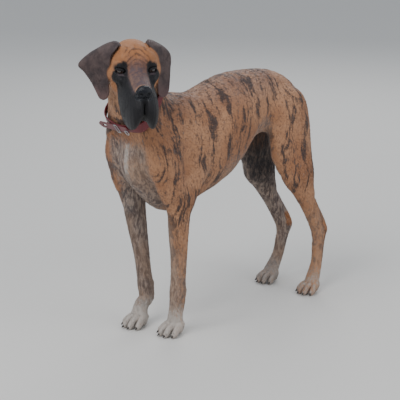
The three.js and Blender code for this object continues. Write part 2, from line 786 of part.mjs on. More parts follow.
// The buckle: a wire frame that lies over the free end.
function buckle(frame) {
  const WIRE = 1.5;
  const half = [7, TONGUE_HALF + 3];
  const signs = [[-1, -1], [1, -1], [1, 1], [-1, 1]];
  const corners = signs.map(([a, b]) => new THREE.Vector3(a * half[0], b * half[1], 0));
  const rings = [];
  for (let i = 0; i < 4; i++) {
    const inward = corners[i].clone().negate().normalize();
    const ring = [];
    for (let k = 0; k < 8; k++) {
      const angle = (k / 8) * 2 * Math.PI;
      const p = corners[i].clone().addScaledVector(inward, Math.cos(angle) * WIRE * 1.3);
      ring.push(p.add(new THREE.Vector3(0, 0, Math.sin(angle) * WIRE)));
    }
    rings.push(ring);
  }
  return placedLoop(rings, frame, [0, 0, -3.6]);
}

// The ring: a round wire that lies over the free end.
function hangingRing(frame) {
  const torus = mergeVertices(stripped(new THREE.TorusGeometry(9, 1.5, 6, 18)));
  return solid(placed(torus, frame, [-48, -9, -3.6]));
}

function placedLoop(rings, frame, shift) {
  const count = rings[0].length;
  const triangles = [];
  rings.forEach((_, r) => {
    for (let i = 0; i < count; i++) {
      const [a, b] = [r * count + i, r * count + ((i + 1) % count)];
      const [c, d] = [a, b].map((v) => (v + count) % (rings.length * count));
      triangles.push(a, b, d, a, d, c);
    }
  });
  const positions = rings.flat().flatMap((p) => p.toArray());
  const geometry = new THREE.BufferGeometry();
  geometry.setAttribute('position', new THREE.Float32BufferAttribute(positions, 3));
  geometry.setIndex(triangles);
  return solid(outward(placed(geometry, frame, shift)));
}

// Colours, roughness and metalness of the parts
function look(color, roughness, metalness = 0) {
  return new THREE.MeshStandardMaterial({ color, roughness, metalness });
}
const looks = {
  coat: look('#b5794a', 0.7),
  mask: look('#4c4038', 0.6),
  ear: look('#5d4b42', 0.7),
  leg: look('#97775a', 0.7),
  paw: look('#b9a78f', 0.7),
  eye: look('#2a1a10', 0.15),
  claw: look('#3a332d', 0.4),
  leather: look('#7a1c26', 0.5),
  metal: look('#b9bcc0', 0.3, 1),
};

const parts = [];
function add(name, body, material) {
  parts.push({ name, body: biggest(body), material: looks[material] });
}

// Head, ears and eyes
const HEAD_CUT = [[22, 420, 862], [0.4, 0.45, 0.8]];
const CHEST_CUT = [[0, 330, 735], [0, 0.66, 0.75]];
const LOIN_CUT = [[0, -60, 700], [0, 1, 0]];
const FOREPAW_UP = 92;
const HINDPAW_UP = 88;
const KNEE_UP = 418;

const eyeSides = [['left', 1], ['right', -1]];
const eyeMiddle = (side) => point([side * EYE_AT[0], EYE_AT[1], EYE_AT[2]]).applyMatrix4(headPlace);
const ball = (side, radius) => {
  const geometry = mergeVertices(stripped(new THREE.IcosahedronGeometry(radius, 2)));
  geometry.translate(...eyeMiddle(side).toArray());
  return solid(geometry);
};
const earRows = { left: leftEar, right: rightEar };

let head = solid(polygonise(fleshDistance, [-90, 340, 740], [330, 660, 1060], [18, 18, 18]));
head = keep(head, ...HEAD_CUT);
for (const [name, side] of eyeSides) {
  head = head.subtract(ball(side, EYE_RADIUS + 0.4)).subtract(roomFor(ear(side, earRows[name])));
}
head = biggest(head);
add('head', head, 'mask');
for (const [name, side] of eyeSides) {
  add(`eye_${name}`, ball(side, EYE_RADIUS), 'eye');
  add(`ear_${name}`, ear(side, earRows[name]), 'ear');
}

// Neck, chest and loin
const collarRoom = strapRing(0.5);
let neckBody = solid(polygonise(fleshDistance, [-170, 200, 600], [190, 520, 960], [30, 30, 30]));
neckBody = behind(keep(neckBody, ...CHEST_CUT), ...HEAD_CUT).subtract(collarRoom);
add('neck', neckBody, 'coat');

let chest = solid(polygonise(bodyForm, [-200, -100, 380], [200, 500, 880], [38, 38, 38]));
chest = keep(behind(chest, ...CHEST_CUT), ...LOIN_CUT);
for (const side of [1, -1]) chest = chest.subtract(foreBlock(side, CUT_GAP / 2));
add('chest', chest, 'coat');

let loin = solid(polygonise(bodyForm, [-180, -420, 540], [180, 0, 880], [34, 34, 34]));
loin = behind(loin, ...LOIN_CUT);
for (const side of [1, -1]) loin = loin.subtract(hindBlock(side, CUT_GAP / 2));
add('loin', loin, 'coat');

// The tail, with room left for what it is joined to
let tailBody = solid(polygonise(tailForm, [-60, -490, 240], [60, -280, 800], [14, 14, 36]));
tailBody = tailBody.subtract(roomFor(loin));

// Legs, paws and claws
const level = (up) => [[0, 0, up], [0, 0, 1]];
const legs = [
  ['fore', 'left', 1, FORE_LEFT, 1, FOREPAW_UP],
  ['fore', 'right', -1, FORE_RIGHT, 1, FOREPAW_UP],
  ['hind', 'left', 1, HIND_LEFT, 0.94, HINDPAW_UP],
  ['hind', 'right', -1, HIND_RIGHT, 0.94, HINDPAW_UP],
];
for (const [which, name, side, paw, size, pawUp] of legs) {
  const span = (inner, outer) => (side > 0 ? [inner, outer] : [-outer, -inner]);
  const [left, right] = span(paw[0] - 62, paw[0] + 62);
  const [footLow, footHigh] = [[left, paw[1] - 75, -18], [right, paw[1] + 75, pawUp + 20]];
  let foot = solid(polygonise(bodyForm, footLow, footHigh, [11, 12, 15]));
  foot = behind(foot, ...level(pawUp)).trimByPlane([0, 0, 1], 0);
  for (const room of claws(side, paw, size, 0.4)) foot = foot.subtract(room);
  add(`${which}paw_${name}`, foot, 'paw');
  claws(side, paw, size).forEach((body, i) => add(`claw_${which}_${name}_${i + 1}`, body, 'claw'));
  if (which === 'fore') {
    const [a, b] = span(24, 190);
    let leg = solid(polygonise(bodyForm, [a, 180, 60], [b, 470, 760], [19, 19, 40]));
    leg = keep(leg.intersect(foreBlock(side, -CUT_GAP / 2)), ...level(pawUp));
    add(`foreleg_${name}`, leg, 'leg');
  } else {
    const [a, b] = span(6, 170);
    let thigh = solid(polygonise(bodyForm, [a, -430, 380], [b, -60, 840], [24, 28, 30]));
    thigh = keep(thigh.intersect(hindBlock(side, -CUT_GAP / 2)), ...level(KNEE_UP));
    add(`thigh_${name}`, thigh, 'coat');
    tailBody = tailBody.subtract(roomFor(thigh));
    let shank = solid(polygonise(bodyForm, [a + 30 * side, -480, 60], [b, -180, 450], [14, 15, 32]));
    shank = keep(behind(shank, ...level(KNEE_UP)), ...level(pawUp));
    add(`shank_${name}`, shank, 'leg');
  }
}

add('tail', tailBody, 'coat');

// Collar: the strap, its free end with a slot, and the buckle's frame and a ring over it
add('collar_strap', strapRing(), 'leather');
const tongue = tongueFrame();
const slot = tonguePiece(tongue, [TONGUE_LENGTH - 46, TONGUE_LENGTH - 24], 5, 8, 0);
const freeEnd = tonguePiece(tongue, [-TONGUE_TAIL, TONGUE_LENGTH], TONGUE_HALF, TONGUE_THICKNESS, 16);
add('collar_tongue', freeEnd.subtract(slot), 'leather');
add('collar_buckle', buckle(tongue), 'metal');
add('collar_ring', hangingRing(tongue), 'metal');

// All parts, moved so that the origin is on the floor under the middle of the whole
const dog = new THREE.Group();
dog.name = 'great_dane';
for (const { name, body, material } of parts) {
  const { vertProperties, triVerts } = body.getMesh();
  const geometry = new THREE.BufferGeometry();
  geometry.setAttribute('position', new THREE.Float32BufferAttribute(vertProperties, 3));
  geometry.setIndex(Array.from(triVerts));
  geometry.computeVertexNormals();
  const mesh = new THREE.Mesh(geometry, material);
  mesh.name = name;
  dog.add(mesh);
}
const bounds = new THREE.Box3().setFromObject(dog);
const middle = bounds.getCenter(new THREE.Vector3());
for (const mesh of dog.children) mesh.geometry.translate(-middle.x, -middle.y, -bounds.min.z);

export default dog;
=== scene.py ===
"""The looks of a life-size great dane: one skin with its short coat, eyes, claws and collar."""
import bpy
import math
import numpy as np
from mathutils import Matrix, Vector
from mathutils.bvhtree import BVHTree


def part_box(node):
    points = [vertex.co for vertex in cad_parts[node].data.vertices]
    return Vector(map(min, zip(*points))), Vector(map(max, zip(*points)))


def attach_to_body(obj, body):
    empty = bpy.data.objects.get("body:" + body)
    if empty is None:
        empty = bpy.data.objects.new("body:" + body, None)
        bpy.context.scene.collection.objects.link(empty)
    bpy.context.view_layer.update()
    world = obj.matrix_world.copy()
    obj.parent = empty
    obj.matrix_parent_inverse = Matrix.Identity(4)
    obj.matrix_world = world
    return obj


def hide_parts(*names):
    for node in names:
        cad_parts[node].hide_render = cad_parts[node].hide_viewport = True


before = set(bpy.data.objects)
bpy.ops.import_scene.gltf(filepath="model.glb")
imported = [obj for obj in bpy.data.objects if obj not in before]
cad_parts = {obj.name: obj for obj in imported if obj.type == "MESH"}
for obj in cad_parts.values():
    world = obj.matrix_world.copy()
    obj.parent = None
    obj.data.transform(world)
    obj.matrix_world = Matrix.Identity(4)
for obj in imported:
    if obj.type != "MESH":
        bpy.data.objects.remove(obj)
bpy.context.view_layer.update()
scene = bpy.context.scene

# The form is in millimetres. A place is [left, forward, up] from the floor under the middle of the body.
# COAT is how deep the skin lies under the solids' surface.
COAT = 1.2
EYE_RADIUS, EYE_PLAY = 12.0, 0.2
EYE_AT = np.array([48.5, 6.0, 4.0])
HEAD_AT = np.array([116.0, 490.0, 932.0])
YAW, PITCH = math.radians(59), math.radians(12)
PITCH_SIN, PITCH_COS = math.sin(PITCH), math.cos(PITCH)
HEAD = np.array([
    [math.cos(YAW), PITCH_COS * math.sin(YAW), PITCH_SIN * math.sin(YAW)],
    [-math.sin(YAW), PITCH_COS * math.cos(YAW), PITCH_SIN * math.cos(YAW)],
    [0.0, -PITCH_SIN, PITCH_COS],
])
FAR = 1e3
TINY = 1e-9


def to_head(points):
    """The same places in the head's frame."""
    return (points - HEAD_AT) @ HEAD


def from_head(points):
    return points @ HEAD.T + HEAD_AT


def unit(v):
    return v / np.linalg.norm(v, axis=-1, keepdims=True)


def turns(count):
    """Angles round a circle."""
    return np.arange(count) * math.tau / count


def mix(a, b, t):
    return a + (b - a) * t


def ease(low, high, x):
    """From 0 at low to 1 at high, with a soft start and end."""
    t = np.clip((x - low) / (high - low), 0, 1)
    return t * t * (3 - 2 * t)


def melt(a, b, blend):
    """Distance to two things joined, with a round join of the size of `blend`."""
    h = np.maximum(blend - np.abs(a - b), 0) / blend
    return np.minimum(a, b) - h * h * blend / 4


def scoop(a, b, blend):
    """Distance to a with b cut out of it."""
    return -melt(-a, b, blend)


# Shapes


def catmull_rom(rows, steps=3):
    """A smooth curve through the rows, with `steps` steps from each to the next."""
    rows = np.array(rows, float)
    padded = np.concatenate([rows[:1], rows, rows[-1:]])
    out = []
    for i in range(len(rows) - 1):
        a, b, c, d = padded[i:i + 4]
        for s in range(steps):
            t = s / steps
            out.append(0.5 * (2 * b + (c - a) * t + (2 * a - 5 * b + 4 * c - d) * t * t
                              + (3 * b - a - 3 * c + d) * t ** 3))
    out.append(rows[-1])
    return np.array(out)


def ellipse_distance(k0, k1, least_half):
    """Distance to an ellipse, from a place's length over the halves and over their squares."""
    return np.where(k1 < TINY, -least_half, k0 * (k0 - 1) / np.maximum(k1, TINY))


class Shape:
    """Something with a box and a distance. A hollow one is scooped out."""

    def __init__(self, blend, low, high, hollow=False):
        self.blend, self.low, self.high, self.hollow = blend, low, high, hollow

    def near(self, points, margin):
        grow = self.blend + margin
        return np.all((points > self.low - grow) & (points < self.high + grow), axis=1)


class Sweep(Shape):
    """An ellipse swept along stations [left, forward, up, half width, half depth]."""

    def __init__(self, blend, stations, hollow=False):
        rows = catmull_rom(stations)
        self.at, self.a, self.b = rows[:, :3], rows[:, 3], rows[:, 4]
        reach = rows[:, 3:].max()
        super().__init__(blend, self.at.min(0) - reach, self.at.max(0) + reach, hollow)

    def distance(self, p):
        best = np.full(len(p), FAR)
        for i in range(len(self.at) - 1):
            way = self.at[i + 1] - self.at[i]
            q = p - self.at[i]
            t = np.clip(q @ way / (way @ way), 0, 1)
            q -= t[:, None] * way
            u = q[:, 0]
            v = np.sqrt(np.maximum((q * q).sum(1) - u * u, 0))
            a, b = mix(self.a[i], self.a[i + 1], t), mix(self.b[i], self.b[i + 1], t)
            k0 = np.hypot(u / a, v / b)
            k1 = np.hypot(u / (a * a), v / (b * b))
            best = np.minimum(best, ellipse_distance(k0, k1, np.minimum(a, b)))
        return best


class Blob(Shape):
    """An ellipsoid."""

    def __init__(self, blend, centre, half, hollow=False):
        self.centre, self.half = np.array(centre, float), np.array(half, float)
        super().__init__(blend, self.centre - self.half, self.centre + self.half, hollow)

    def distance(self, p):
        q = (p - self.centre) / self.half
        k0 = np.sqrt((q * q).sum(1))
        q /= self.half
        k1 = np.sqrt((q * q).sum(1))
        return ellipse_distance(k0, k1, self.half.min())


def form_of(shapes, points, margin=20.0):
    """Distance to the shapes melted together. It is right within `margin` of them."""
    d = np.full(len(points), FAR)
    for s in shapes:
        m = s.near(points, margin)
        if not m.any():
            continue
        here = s.distance(points[m])
        d[m] = scoop(d[m], here, s.blend) if s.hollow else melt(d[m], here, s.blend)
    return d


# Ribs and loin, then breastbone and belly, then the point of the chest
TRUNK = [
    Sweep(30, [
        [0, 348, 608, 82, 94], [0, 285, 612, 98, 148], [0, 200, 622, 116, 172], [0, 90, 644, 126, 172],
        [0, -20, 710, 120, 137], [0, -110, 730, 104, 120], [0, -190, 730, 94, 112], [0, -250, 720, 86, 96],
        [0, -292, 708, 66, 68],
    ]),
    Sweep(40, [
        [0, 352, 556, 34, 44], [0, 300, 486, 42, 54], [0, 240, 464, 44, 54], [0, 175, 482, 46, 50],
        [0, 90, 526, 50, 44], [0, 40, 562, 48, 40],
    ]),
    Blob(40, [0, 385, 590], [44, 34, 48]),
]


def neck_muscle(s, left, forward):
    return Sweep(40, [
        [s * 30 + 14, 428, 850, 34, 38], [s * 48 + left, 408 + forward, 770, 38, 40],
        [s * 88, 388, 690, 42, 50], [s * 100, 366, 630, 38, 46],
    ])


NECK = [
    Sweep(50, [
        [0, 250, 664, 80, 118], [0, 312, 710, 86, 108], [0, 366, 762, 86, 98], [8, 398, 820, 80, 88],
        [18, 414, 876, 70, 76], [24, 420, 926, 60, 62],
    ]),
    neck_muscle(1, 0, 0),
    neck_muscle(-1, -4, 2),
]

TOE_SPREAD = [-29, -10.5, 10.5, 29]
TOE_REACH = [30, 47, 47, 30]
TOE_FAN = 1.18
FORE_SIZE, HIND_SIZE = 1.0, 0.94


def toes(side, paw, size):
    """Four toes and their pad. A paw is [left, forward], the same on both sides."""
    def left(amount):
        return side * (paw[0] + amount * size)
    shapes = []
    for out, reach in zip(TOE_SPREAD, TOE_REACH):
        shapes.append(Sweep(6, [
            [left(out * 0.72), paw[1] - 14 * size, 34 * size, 12 * size, 16 * size],
            [left(out), paw[1] + (reach - 22) * size, 29 * size, 10.5 * size, 13 * size],
            [left(out * TOE_FAN), paw[1] + (reach - 4) * size, 16 * size, 10.5 * size, 13 * size],
            [left(out * TOE_FAN), paw[1] + (reach + 2) * size, 8 * size, 8 * size, 8 * size],
        ]))
    shapes.append(Blob(12, [side * paw[0], paw[1] - 10, 14], [27 * size, 24 * size, 17 * size]))
    return shapes


def along_bone(s, start, end):
    """A function for the place at the share t of a bone, or a step ahead of it."""
    def at(t, ahead=0):
        left, forward, up = (mix(a, b, t) for a, b in zip(start, end))
        return [s * left, forward + ahead, up]
    return at


def foreleg(s, elbow, wrist, paw):
    """Shoulder, upper arm, back of the elbow, forearm to foot, point of the elbow, pad of the wrist."""
    at = along_bone(s, elbow, wrist)
    return [
        Sweep(36, [
            [s * 38, 215, 752, 26, 48], [s * 70, 280, 704, 34, 70], [s * 94, 340, 650, 38, 60],
            [s * 104, 370, 612, 38, 46],
        ]),
        Sweep(34, [
            [s * 104, 368, 620, 40, 48], [s * 109, mix(368, elbow[1], 0.4), 542, 40, 60],
            [s * elbow[0], elbow[1] + 8, elbow[2] + 12, 34, 46],
        ]),
        Sweep(30, [
            [s * 88, 210, 640, 30, 60], [s * 104, 240, 540, 30, 52],
            [s * elbow[0], elbow[1] - 28, elbow[2] + 16, 26, 28],
        ]),
        Sweep(16, [
            [*at(0, 4), 34, 45], [*at(0.28, 4), 32, 38], [*at(0.6), 27, 30], [*at(0.86), 26, 27],
            [*at(1), 29, 29], [*at(1.14, 2), 27, 27],
            [s * mix(wrist[0], paw[0], 0.6), mix(wrist[1], paw[1], 0.5), 74, 26, 25],
            [s * paw[0], paw[1] - 6, 44, 32, 26],
        ]),
        Blob(14, [s * elbow[0], elbow[1] - 38, elbow[2] + 14], [15, 18, 22]),
        Blob(8, at(1, -26), [12, 10, 14]),
    ] + toes(s, paw, FORE_SIZE)


def hindleg(s, hip, knee, hock, paw):
    """Thigh, its rear edge, shank, tendon and heel, and the foot below the hock."""
    at = along_bone(s, knee, hock)
    down = along_bone(s, hock, [paw[0], paw[1] - 26, 30])
    return [
        Sweep(34, [
            [s * hip[0], hip[1], hip[2] + 14, 44, 92], [s * (hip[0] + 4), hip[1] - 12, hip[2] - 100, 45, 92],
            [s * knee[0], knee[1], knee[2] + 8, 37, 64],
        ]),
        Sweep(30, [
            [s * 64, -284, 716, 32, 40], [s * 78, -296, 640, 36, 42], [s * 90, -297, 540, 34, 40],
            [*at(0.3, -8), 22, 30],
        ]),
        Sweep(24, [
            [*at(0), 35, 60], [*at(0.26, 2), 29, 44], [*at(0.52, 2), 25, 32], [*at(0.78, 2), 22, 27],
            [*at(1, 4), 22, 25],
        ]),
        Sweep(12, [
            [*at(0.5, -20), 14, 18], [s * hock[0], hock[1] - 22, hock[2] + 36, 9, 10],
            [s * hock[0], hock[1] - 28, hock[2] + 8, 14, 13],
        ]),
        Sweep(16, [
            [s * hock[0], hock[1] - 6, hock[2] - 2, 24, 27], [*down(0.25, -2), 22, 25], [*down(0.6), 21, 22],
            [s * paw[0], paw[1] - 8, 42, 30, 24],
        ]),
    ] + toes(s, paw, HIND_SIZE)


PAWS = {
    ("fore", "left"): (1, [80, 304], FORE_SIZE), ("fore", "right"): (-1, [62, 342], FORE_SIZE),
    ("hind", "left"): (1, [112, -350], HIND_SIZE), ("hind", "right"): (-1, [80, -332], HIND_SIZE),
}
LEGS = (
    foreleg(1, [102, 292, 452], [86, 290, 150], PAWS["fore", "left"][1])
    + foreleg(-1, [106, 314, 452], [69, 300, 140], PAWS["fore", "right"][1])
    + hindleg(1, [78, -246, 665], [102, -280, 462], [104, -398, 224], PAWS["hind", "left"][1])
    + hindleg(-1, [78, -248, 660], [92, -276, 452], [86, -412, 202], PAWS["hind", "right"][1])
)
TAIL = [Sweep(14, [
    [0, -322, 738, 26, 28], [0, -362, 712, 22, 24], [0, -384, 650, 18, 19], [2, -394, 560, 15, 16],
    [4, -408, 450, 12, 13], [6, -424, 350, 9, 10], [8, -444, 272, 6, 7],
])]
# The head, in its own frame. Its halves are alike, so each shape stands for both sides.
SKULL = [
    # braincase, forehead, stop, temple and brow
    Blob(20, [0, -62, 14], [67, 82, 60]),
    Blob(18, [26, -18, 34], [36, 44, 36]),
    Blob(20, [0, 4, 10], [38, 36, 34]),
    Blob(20, [46, -42, 8], [31, 52, 42]),
    Blob(8, [46, 2, 23], [19, 16, 10]),
    # cheekbone and cheek
    Sweep(14, [[50, 30, -22, 11, 14], [67, -8, -17, 12, 16], [71, -56, -8, 12, 18]]),
    Blob(20, [50, -46, -44], [27, 50, 46]),
    # bridge of the muzzle, its sides, the flews and the lower jaw
    Sweep(16, [[0, 8, -10, 40, 30], [0, 70, -14, 33, 28], [0, 138, -14, 28, 26]]),
    Sweep(18, [[0, 4, -42, 50, 38], [0, 70, -52, 47, 46], [0, 126, -54, 41, 44]]),
    Sweep(12, [
        [44, -6, -70, 13, 34], [43, 46, -84, 15, 50], [38, 96, -88, 18, 58], [28, 132, -82, 18, 56],
        [13, 150, -62, 14, 42],
    ]),
    Sweep(16, [[0, -50, -78, 42, 28], [0, 40, -98, 36, 20], [0, 120, -102, 28, 16]]),
    # top of the throat, nose and the wing of the nostril
    Blob(24, [0, -82, -60], [50, 54, 50]),
    Blob(6, [0, 158, -7], [25, 18, 21]),
    Blob(6, [16, 160, -13], [12, 12, 12]),
]
# What only the skin shows: nostrils, the groove under the nose and the gap between the lips
FACE = [
    Blob(2, [12, 176, -12], [5.5, 8, 4.5], True),
    Sweep(2, [[19, 173, -15, 2.4, 3], [26, 162, -12, 2.0, 2.6]], True),
    Sweep(3, [[0, 179, -16, 1.5, 2.5], [0, 176, -32, 1.8, 4], [0, 170, -68, 2.2, 6]], True),
]

# Ears: each row has its front edge, middle and back edge, from the root to the tip
EAR_ROOT = [[42, -34, 60], [42, -66, 54], [50, -100, 36]]
EARS = {
    -1: [
        EAR_ROOT,
        [[50, -30, 72], [54, -62, 72], [62, -96, 50]],
        [[60, -20, 65], [80, -56, 66], [92, -95, 44]],
        [[76, -20, 42], [108, -50, 42], [131, -91, 25]],
        [[79, -20, 13], [119, -54, 4], [166, -84, -7]],
        [[79, -24, -23], [114, -52, -32], [148, -80, -31]],
        [[81, -30, -55], [103, -48, -66], [126, -72, -64]],
        [[78, -34, -86], [96, -44, -96], [115, -58, -86]],
        [[84, -38, -106], [95, -44, -112], [106, -50, -105]],
    ],
    1: [
        EAR_ROOT,
        [[45, -30, 73], [50, -62, 74], [60, -96, 52]],
        [[50, -22, 66], [70, -60, 65], [86, -98, 46]],
        [[61, -20, 50], [93, -60, 47], [121, -92, 20]],
        [[74, -26, 22], [102, -60, 12], [127, -86, -6]],
        [[76, -28, -14], [102, -54, -21], [124, -77, -29]],
        [[77, -28, -52], [100, -49, -59], [122, -69, -68]],
        [[80, -30, -88], [99, -44, -98], [118, -60, -98]],
        [[88, -36, -105], [100, -44, -111], [112, -52, -107]],
    ],
}
EAR_ALONG, EAR_ACROSS = 5, 12
EAR_HALF = 2.2
EAR_ROOT_MORE, EAR_ROOT_SHARE = 3.0, 0.2
EAR_REACH = 21.0
TAIL_BLEND, HEAD_BLEND, EAR_BLEND = 14, 30, 5


class Ear(Shape):
    """A sheet of ear leather, in the head's frame."""

    def __init__(self, side):
        rows = np.array(EARS[side], float).reshape(len(EARS[side]), 9)
        rows = catmull_rom(rows, EAR_ALONG).reshape(-1, 3, 3)
        v = np.linspace(0, 1, EAR_ACROSS + 1)[None, :, None]
        a, b, c = rows[:, None, 0], rows[:, None, 1], rows[:, None, 2]
        bend = 2 * b - (a + c) / 2
        grid = mix(mix(a, bend, v), mix(bend, c, v), v)
        grid[..., 0] *= side
        self.rows, self.columns = grid.shape[:2]
        points = grid.reshape(-1, 3)
        faces = [(n, n + 1, n + self.columns + 1, n + self.columns)
                 for i in range(self.rows - 1) for n in range(i * self.columns, (i + 1) * self.columns - 1)]
        self.tree = BVHTree.FromPolygons([Vector(p) for p in points], faces)
        super().__init__(EAR_BLEND, points.min(0), points.max(0))

    def distance(self, points):
        """Distance to the leather, and how far down the ear the nearest place is, from 0 to 1."""
        d, down = np.empty(len(points)), np.empty(len(points))
        for i, p in enumerate(points):
            _, _, face, away = self.tree.find_nearest(Vector(p))
            t = (face // (self.columns - 1)) / (self.rows - 2)
            d[i] = away - EAR_HALF - EAR_ROOT_MORE * max(0.0, 1 - t / EAR_ROOT_SHARE) ** 2
            down[i] = t
        return d, down


EAR_PAIR = [Ear(-1), Ear(1)]

# Eyelids: the way the left eye looks, and sizes of lid, crease and almond gap
GAZE = unit(np.array([0.36, 0.93, -0.02]))
EYE_SIDE = unit(np.array([GAZE[1], -GAZE[0], 0]))
EYE_UP = np.cross(EYE_SIDE, GAZE)
LID_REACH = 45.0
LID_THICKNESS, LID_BLEND = 2.6, 16.0
CREASE_SIDE, CREASE_UP = 18.0, 12.5
GAP_SIDE, GAP_UP, GAP_DOWN = 12.5, 3.6, 6.4
GAP_SAG = 0.012


def lids(d, local):
    """Lids over the eyeball with an almond gap, a little open at the lower edge."""
    q = local - EYE_AT
    r = np.sqrt((q * q).sum(1))
    near = r < LID_REACH
    q, r, here = q[near], r[near], d[near]
    g, h, v = q @ GAZE, q @ EYE_SIDE, q @ EYE_UP
    here = melt(here, r - (EYE_RADIUS + LID_THICKNESS), LID_BLEND)
    crease = np.abs(np.hypot(h / CREASE_SIDE, v / CREASE_UP) - 1) * 12 - 0.4
    here = scoop(here, np.maximum(np.maximum(crease, 4 - g), 1 - v), 2.5)
    v = v + GAP_SAG * h * h
    rise = np.where(v > 0, GAP_UP, GAP_DOWN)
    almond = np.maximum((np.hypot(h / GAP_SIDE, v / rise) - 1) * rise, 2 - g)
    here = scoop(here, almond, 1.6)
    d = d.copy()
    d[near] = np.maximum(here, EYE_RADIUS + EYE_PLAY - COAT - r)
    return d


def parts_of(points, margin=20.0):
    """Distances to body, head and ears, how far down an ear, and the places in the head's left half."""
    body = melt(form_of(TRUNK + NECK + LEGS, points, margin), form_of(TAIL, points, margin), TAIL_BLEND)
    local = to_head(points)
    folded = local.copy()
    folded[:, 0] = np.abs(folded[:, 0])
    head = form_of(SKULL + FACE, folded, margin)
    ear = np.full(len(points), FAR)
    down = np.zeros(len(points))
    for e in EAR_PAIR:
        m = e.near(local, EAR_REACH)
        if m.any():
            ear[m], down[m] = e.distance(local[m])
    return body, head, ear, down, folded


def form(points, margin=20.0):
    """Distance to the skin."""
    body, head, ear, _, folded = parts_of(points, margin)
    d = lids(melt(body, head, HEAD_BLEND), folded)
    return melt(d, ear - COAT, EAR_BLEND) + COAT


# The skin

COARSE_STEP, COARSE_MARGIN = 12.0, 30
NEAR_SURFACE = 15
CELL_CORNERS = [(a, b, c) for a in (0, 1) for b in (0, 1) for c in (0, 1)]


def axis(ranges):
    """Grid lines with a step of their own in each range (from, to, step)."""
    lines = [np.arange(a, b, step) for a, b, step in ranges]
    return np.append(np.concatenate(lines), ranges[-1][1])


def resample(values, coarse, fine, dim):
    """Values on the coarse lines of one axis, read at its fine lines."""
    at = np.clip((fine - coarse[0]) / (coarse[1] - coarse[0]), 0, len(coarse) - 1.001)
    i = at.astype(int)
    t = (at - i).reshape([-1 if k == dim else 1 for k in range(3)])
    return np.take(values, i, dim) * (1 - t) + np.take(values, i + 1, dim) * t


def grid_points(x, y, z):
    return np.stack(np.meshgrid(x, y, z, indexing="ij"), -1).reshape(-1, 3)


def skin_grid():
    """Grid lines, close together at head and paws, and the form's distance where they meet."""
    lines = [
        axis([(-190, 320, 2.4)]),
        axis([(-490, 336, 4.2), (336, 670, 2.2)]),
        axis([(-14, 92, 2.3), (92, 742, 5.2), (742, 1046, 2.2)]),
    ]
    coarse = [np.arange(line[0] - COARSE_STEP, line[-1] + 2 * COARSE_STEP, COARSE_STEP) for line in lines]
    d = form(grid_points(*coarse), COARSE_MARGIN).reshape([len(c) for c in coarse]).astype(np.float32)
    for dim in range(3):
        d = resample(d, coarse[dim], lines[dim], dim).astype(np.float32)
    near = np.abs(d) < NEAR_SURFACE
    i, j, k = np.nonzero(near)
    d[near] = form(np.stack([lines[0][i], lines[1][j], lines[2][k]], -1))
    return lines, d


def crossing_places(d, cells):
    """The mean of the places, from 0 to 1, where the surface crosses each cell's edges."""
    i, j, k = cells
    value = {c: d[i + c[0], j + c[1], k + c[2]] for c in CELL_CORNERS}
    total, crossings = np.zeros((len(i), 3)), np.zeros(len(i))
    for corner in CELL_CORNERS:
        for dim in range(3):
            if corner[dim]:
                continue
            beyond = tuple(1 if n == dim else corner[n] for n in range(3))
            start, end = value[corner], value[beyond]
            cross = (start < 0) != (end < 0)
            at = np.tile(np.array(corner, float), (len(i), 1))
            at[:, dim] = np.where(cross, start / np.where(cross, start - end, 1), 0)
            total += at * cross[:, None]
            crossings += cross
    return total / crossings[:, None]


def surface_nets(lines, d):
    """Vertices and quads of the surface where d changes its sign."""
    inside = d < 0
    count = sum(inside[a:a - 1 or None, b:b - 1 or None, c:c - 1 or None].astype(np.uint8)
                for a, b, c in CELL_CORNERS)
    active = (count > 0) & (count < 8)
    cells = np.nonzero(active)
    number = np.full(active.shape, -1, np.int64)
    number[active] = np.arange(len(cells[0]))
    places = crossing_places(d, cells)
    v = np.empty_like(places)
    for dim, index in enumerate(cells):
        v[:, dim] = mix(lines[dim][index], lines[dim][index + 1], places[:, dim])
    quads = []
    for dim in range(3):
        change = np.diff(inside.astype(np.int8), axis=dim)
        edges = np.argwhere(change != 0)
        others = [n for n in range(3) if n != dim]
        for n in others:
            edges = edges[(edges[:, n] > 0) & (edges[:, n] < d.shape[n] - 1)]
        p, q = np.eye(3, dtype=int)[others]
        quad = np.stack([number[tuple((edges - back).T)] for back in (p + q, q, 0 * p, p)], -1)
        outward = change[tuple(edges.T)] > 0
        flip = ~outward if dim == 1 else outward
        quad[flip] = quad[flip][:, ::-1]
        quads.append(quad)
    return v, np.concatenate(quads)


SLOPE_STEP, LEAST_SLOPE, LONGEST_MOVE = 0.6, 0.4, 1.6


def slope_of_form(points):
    steps = np.eye(3) * SLOPE_STEP
    return np.stack([form(points + step) - form(points - step) for step in steps], -1) / (2 * SLOPE_STEP)


def draw_onto(points):
    """Moves the vertices onto the form's surface."""
    g = slope_of_form(points)
    move = -(form(points) / np.maximum((g * g).sum(1), LEAST_SLOPE))[:, None] * g
    length = np.linalg.norm(move, axis=1, keepdims=True)
    return points + move * np.minimum(1, LONGEST_MOVE / np.maximum(length, 1e-6))


def normals_of(v, quads):
    n = np.cross(v[quads[:, 2]] - v[quads[:, 0]], v[quads[:, 3]] - v[quads[:, 1]])
    out = np.zeros_like(v)
    for c in range(4):
        np.add.at(out, quads[:, c], n)
    return out / np.maximum(np.linalg.norm(out, axis=1, keepdims=True), TINY)


FLOOR_GAP = 0.3
skin_v, skin_q = surface_nets(*skin_grid())
skin_v = draw_onto(skin_v)
skin_v[:, 2] = np.maximum(skin_v[:, 2], FLOOR_GAP)
skin_n = normals_of(skin_v, skin_q)
if np.mean((skin_v - skin_v.mean(0))[:, 2] * skin_n[:, 2]) < 0:
    skin_q = skin_q[:, ::-1]
    skin_n = -skin_n

# Where the form meets the row's frame
def turned(points):
    """Millimetres [left, forward, up] to metres on the row's axes."""
    return points * np.array([1, -1, 1]) / 1000


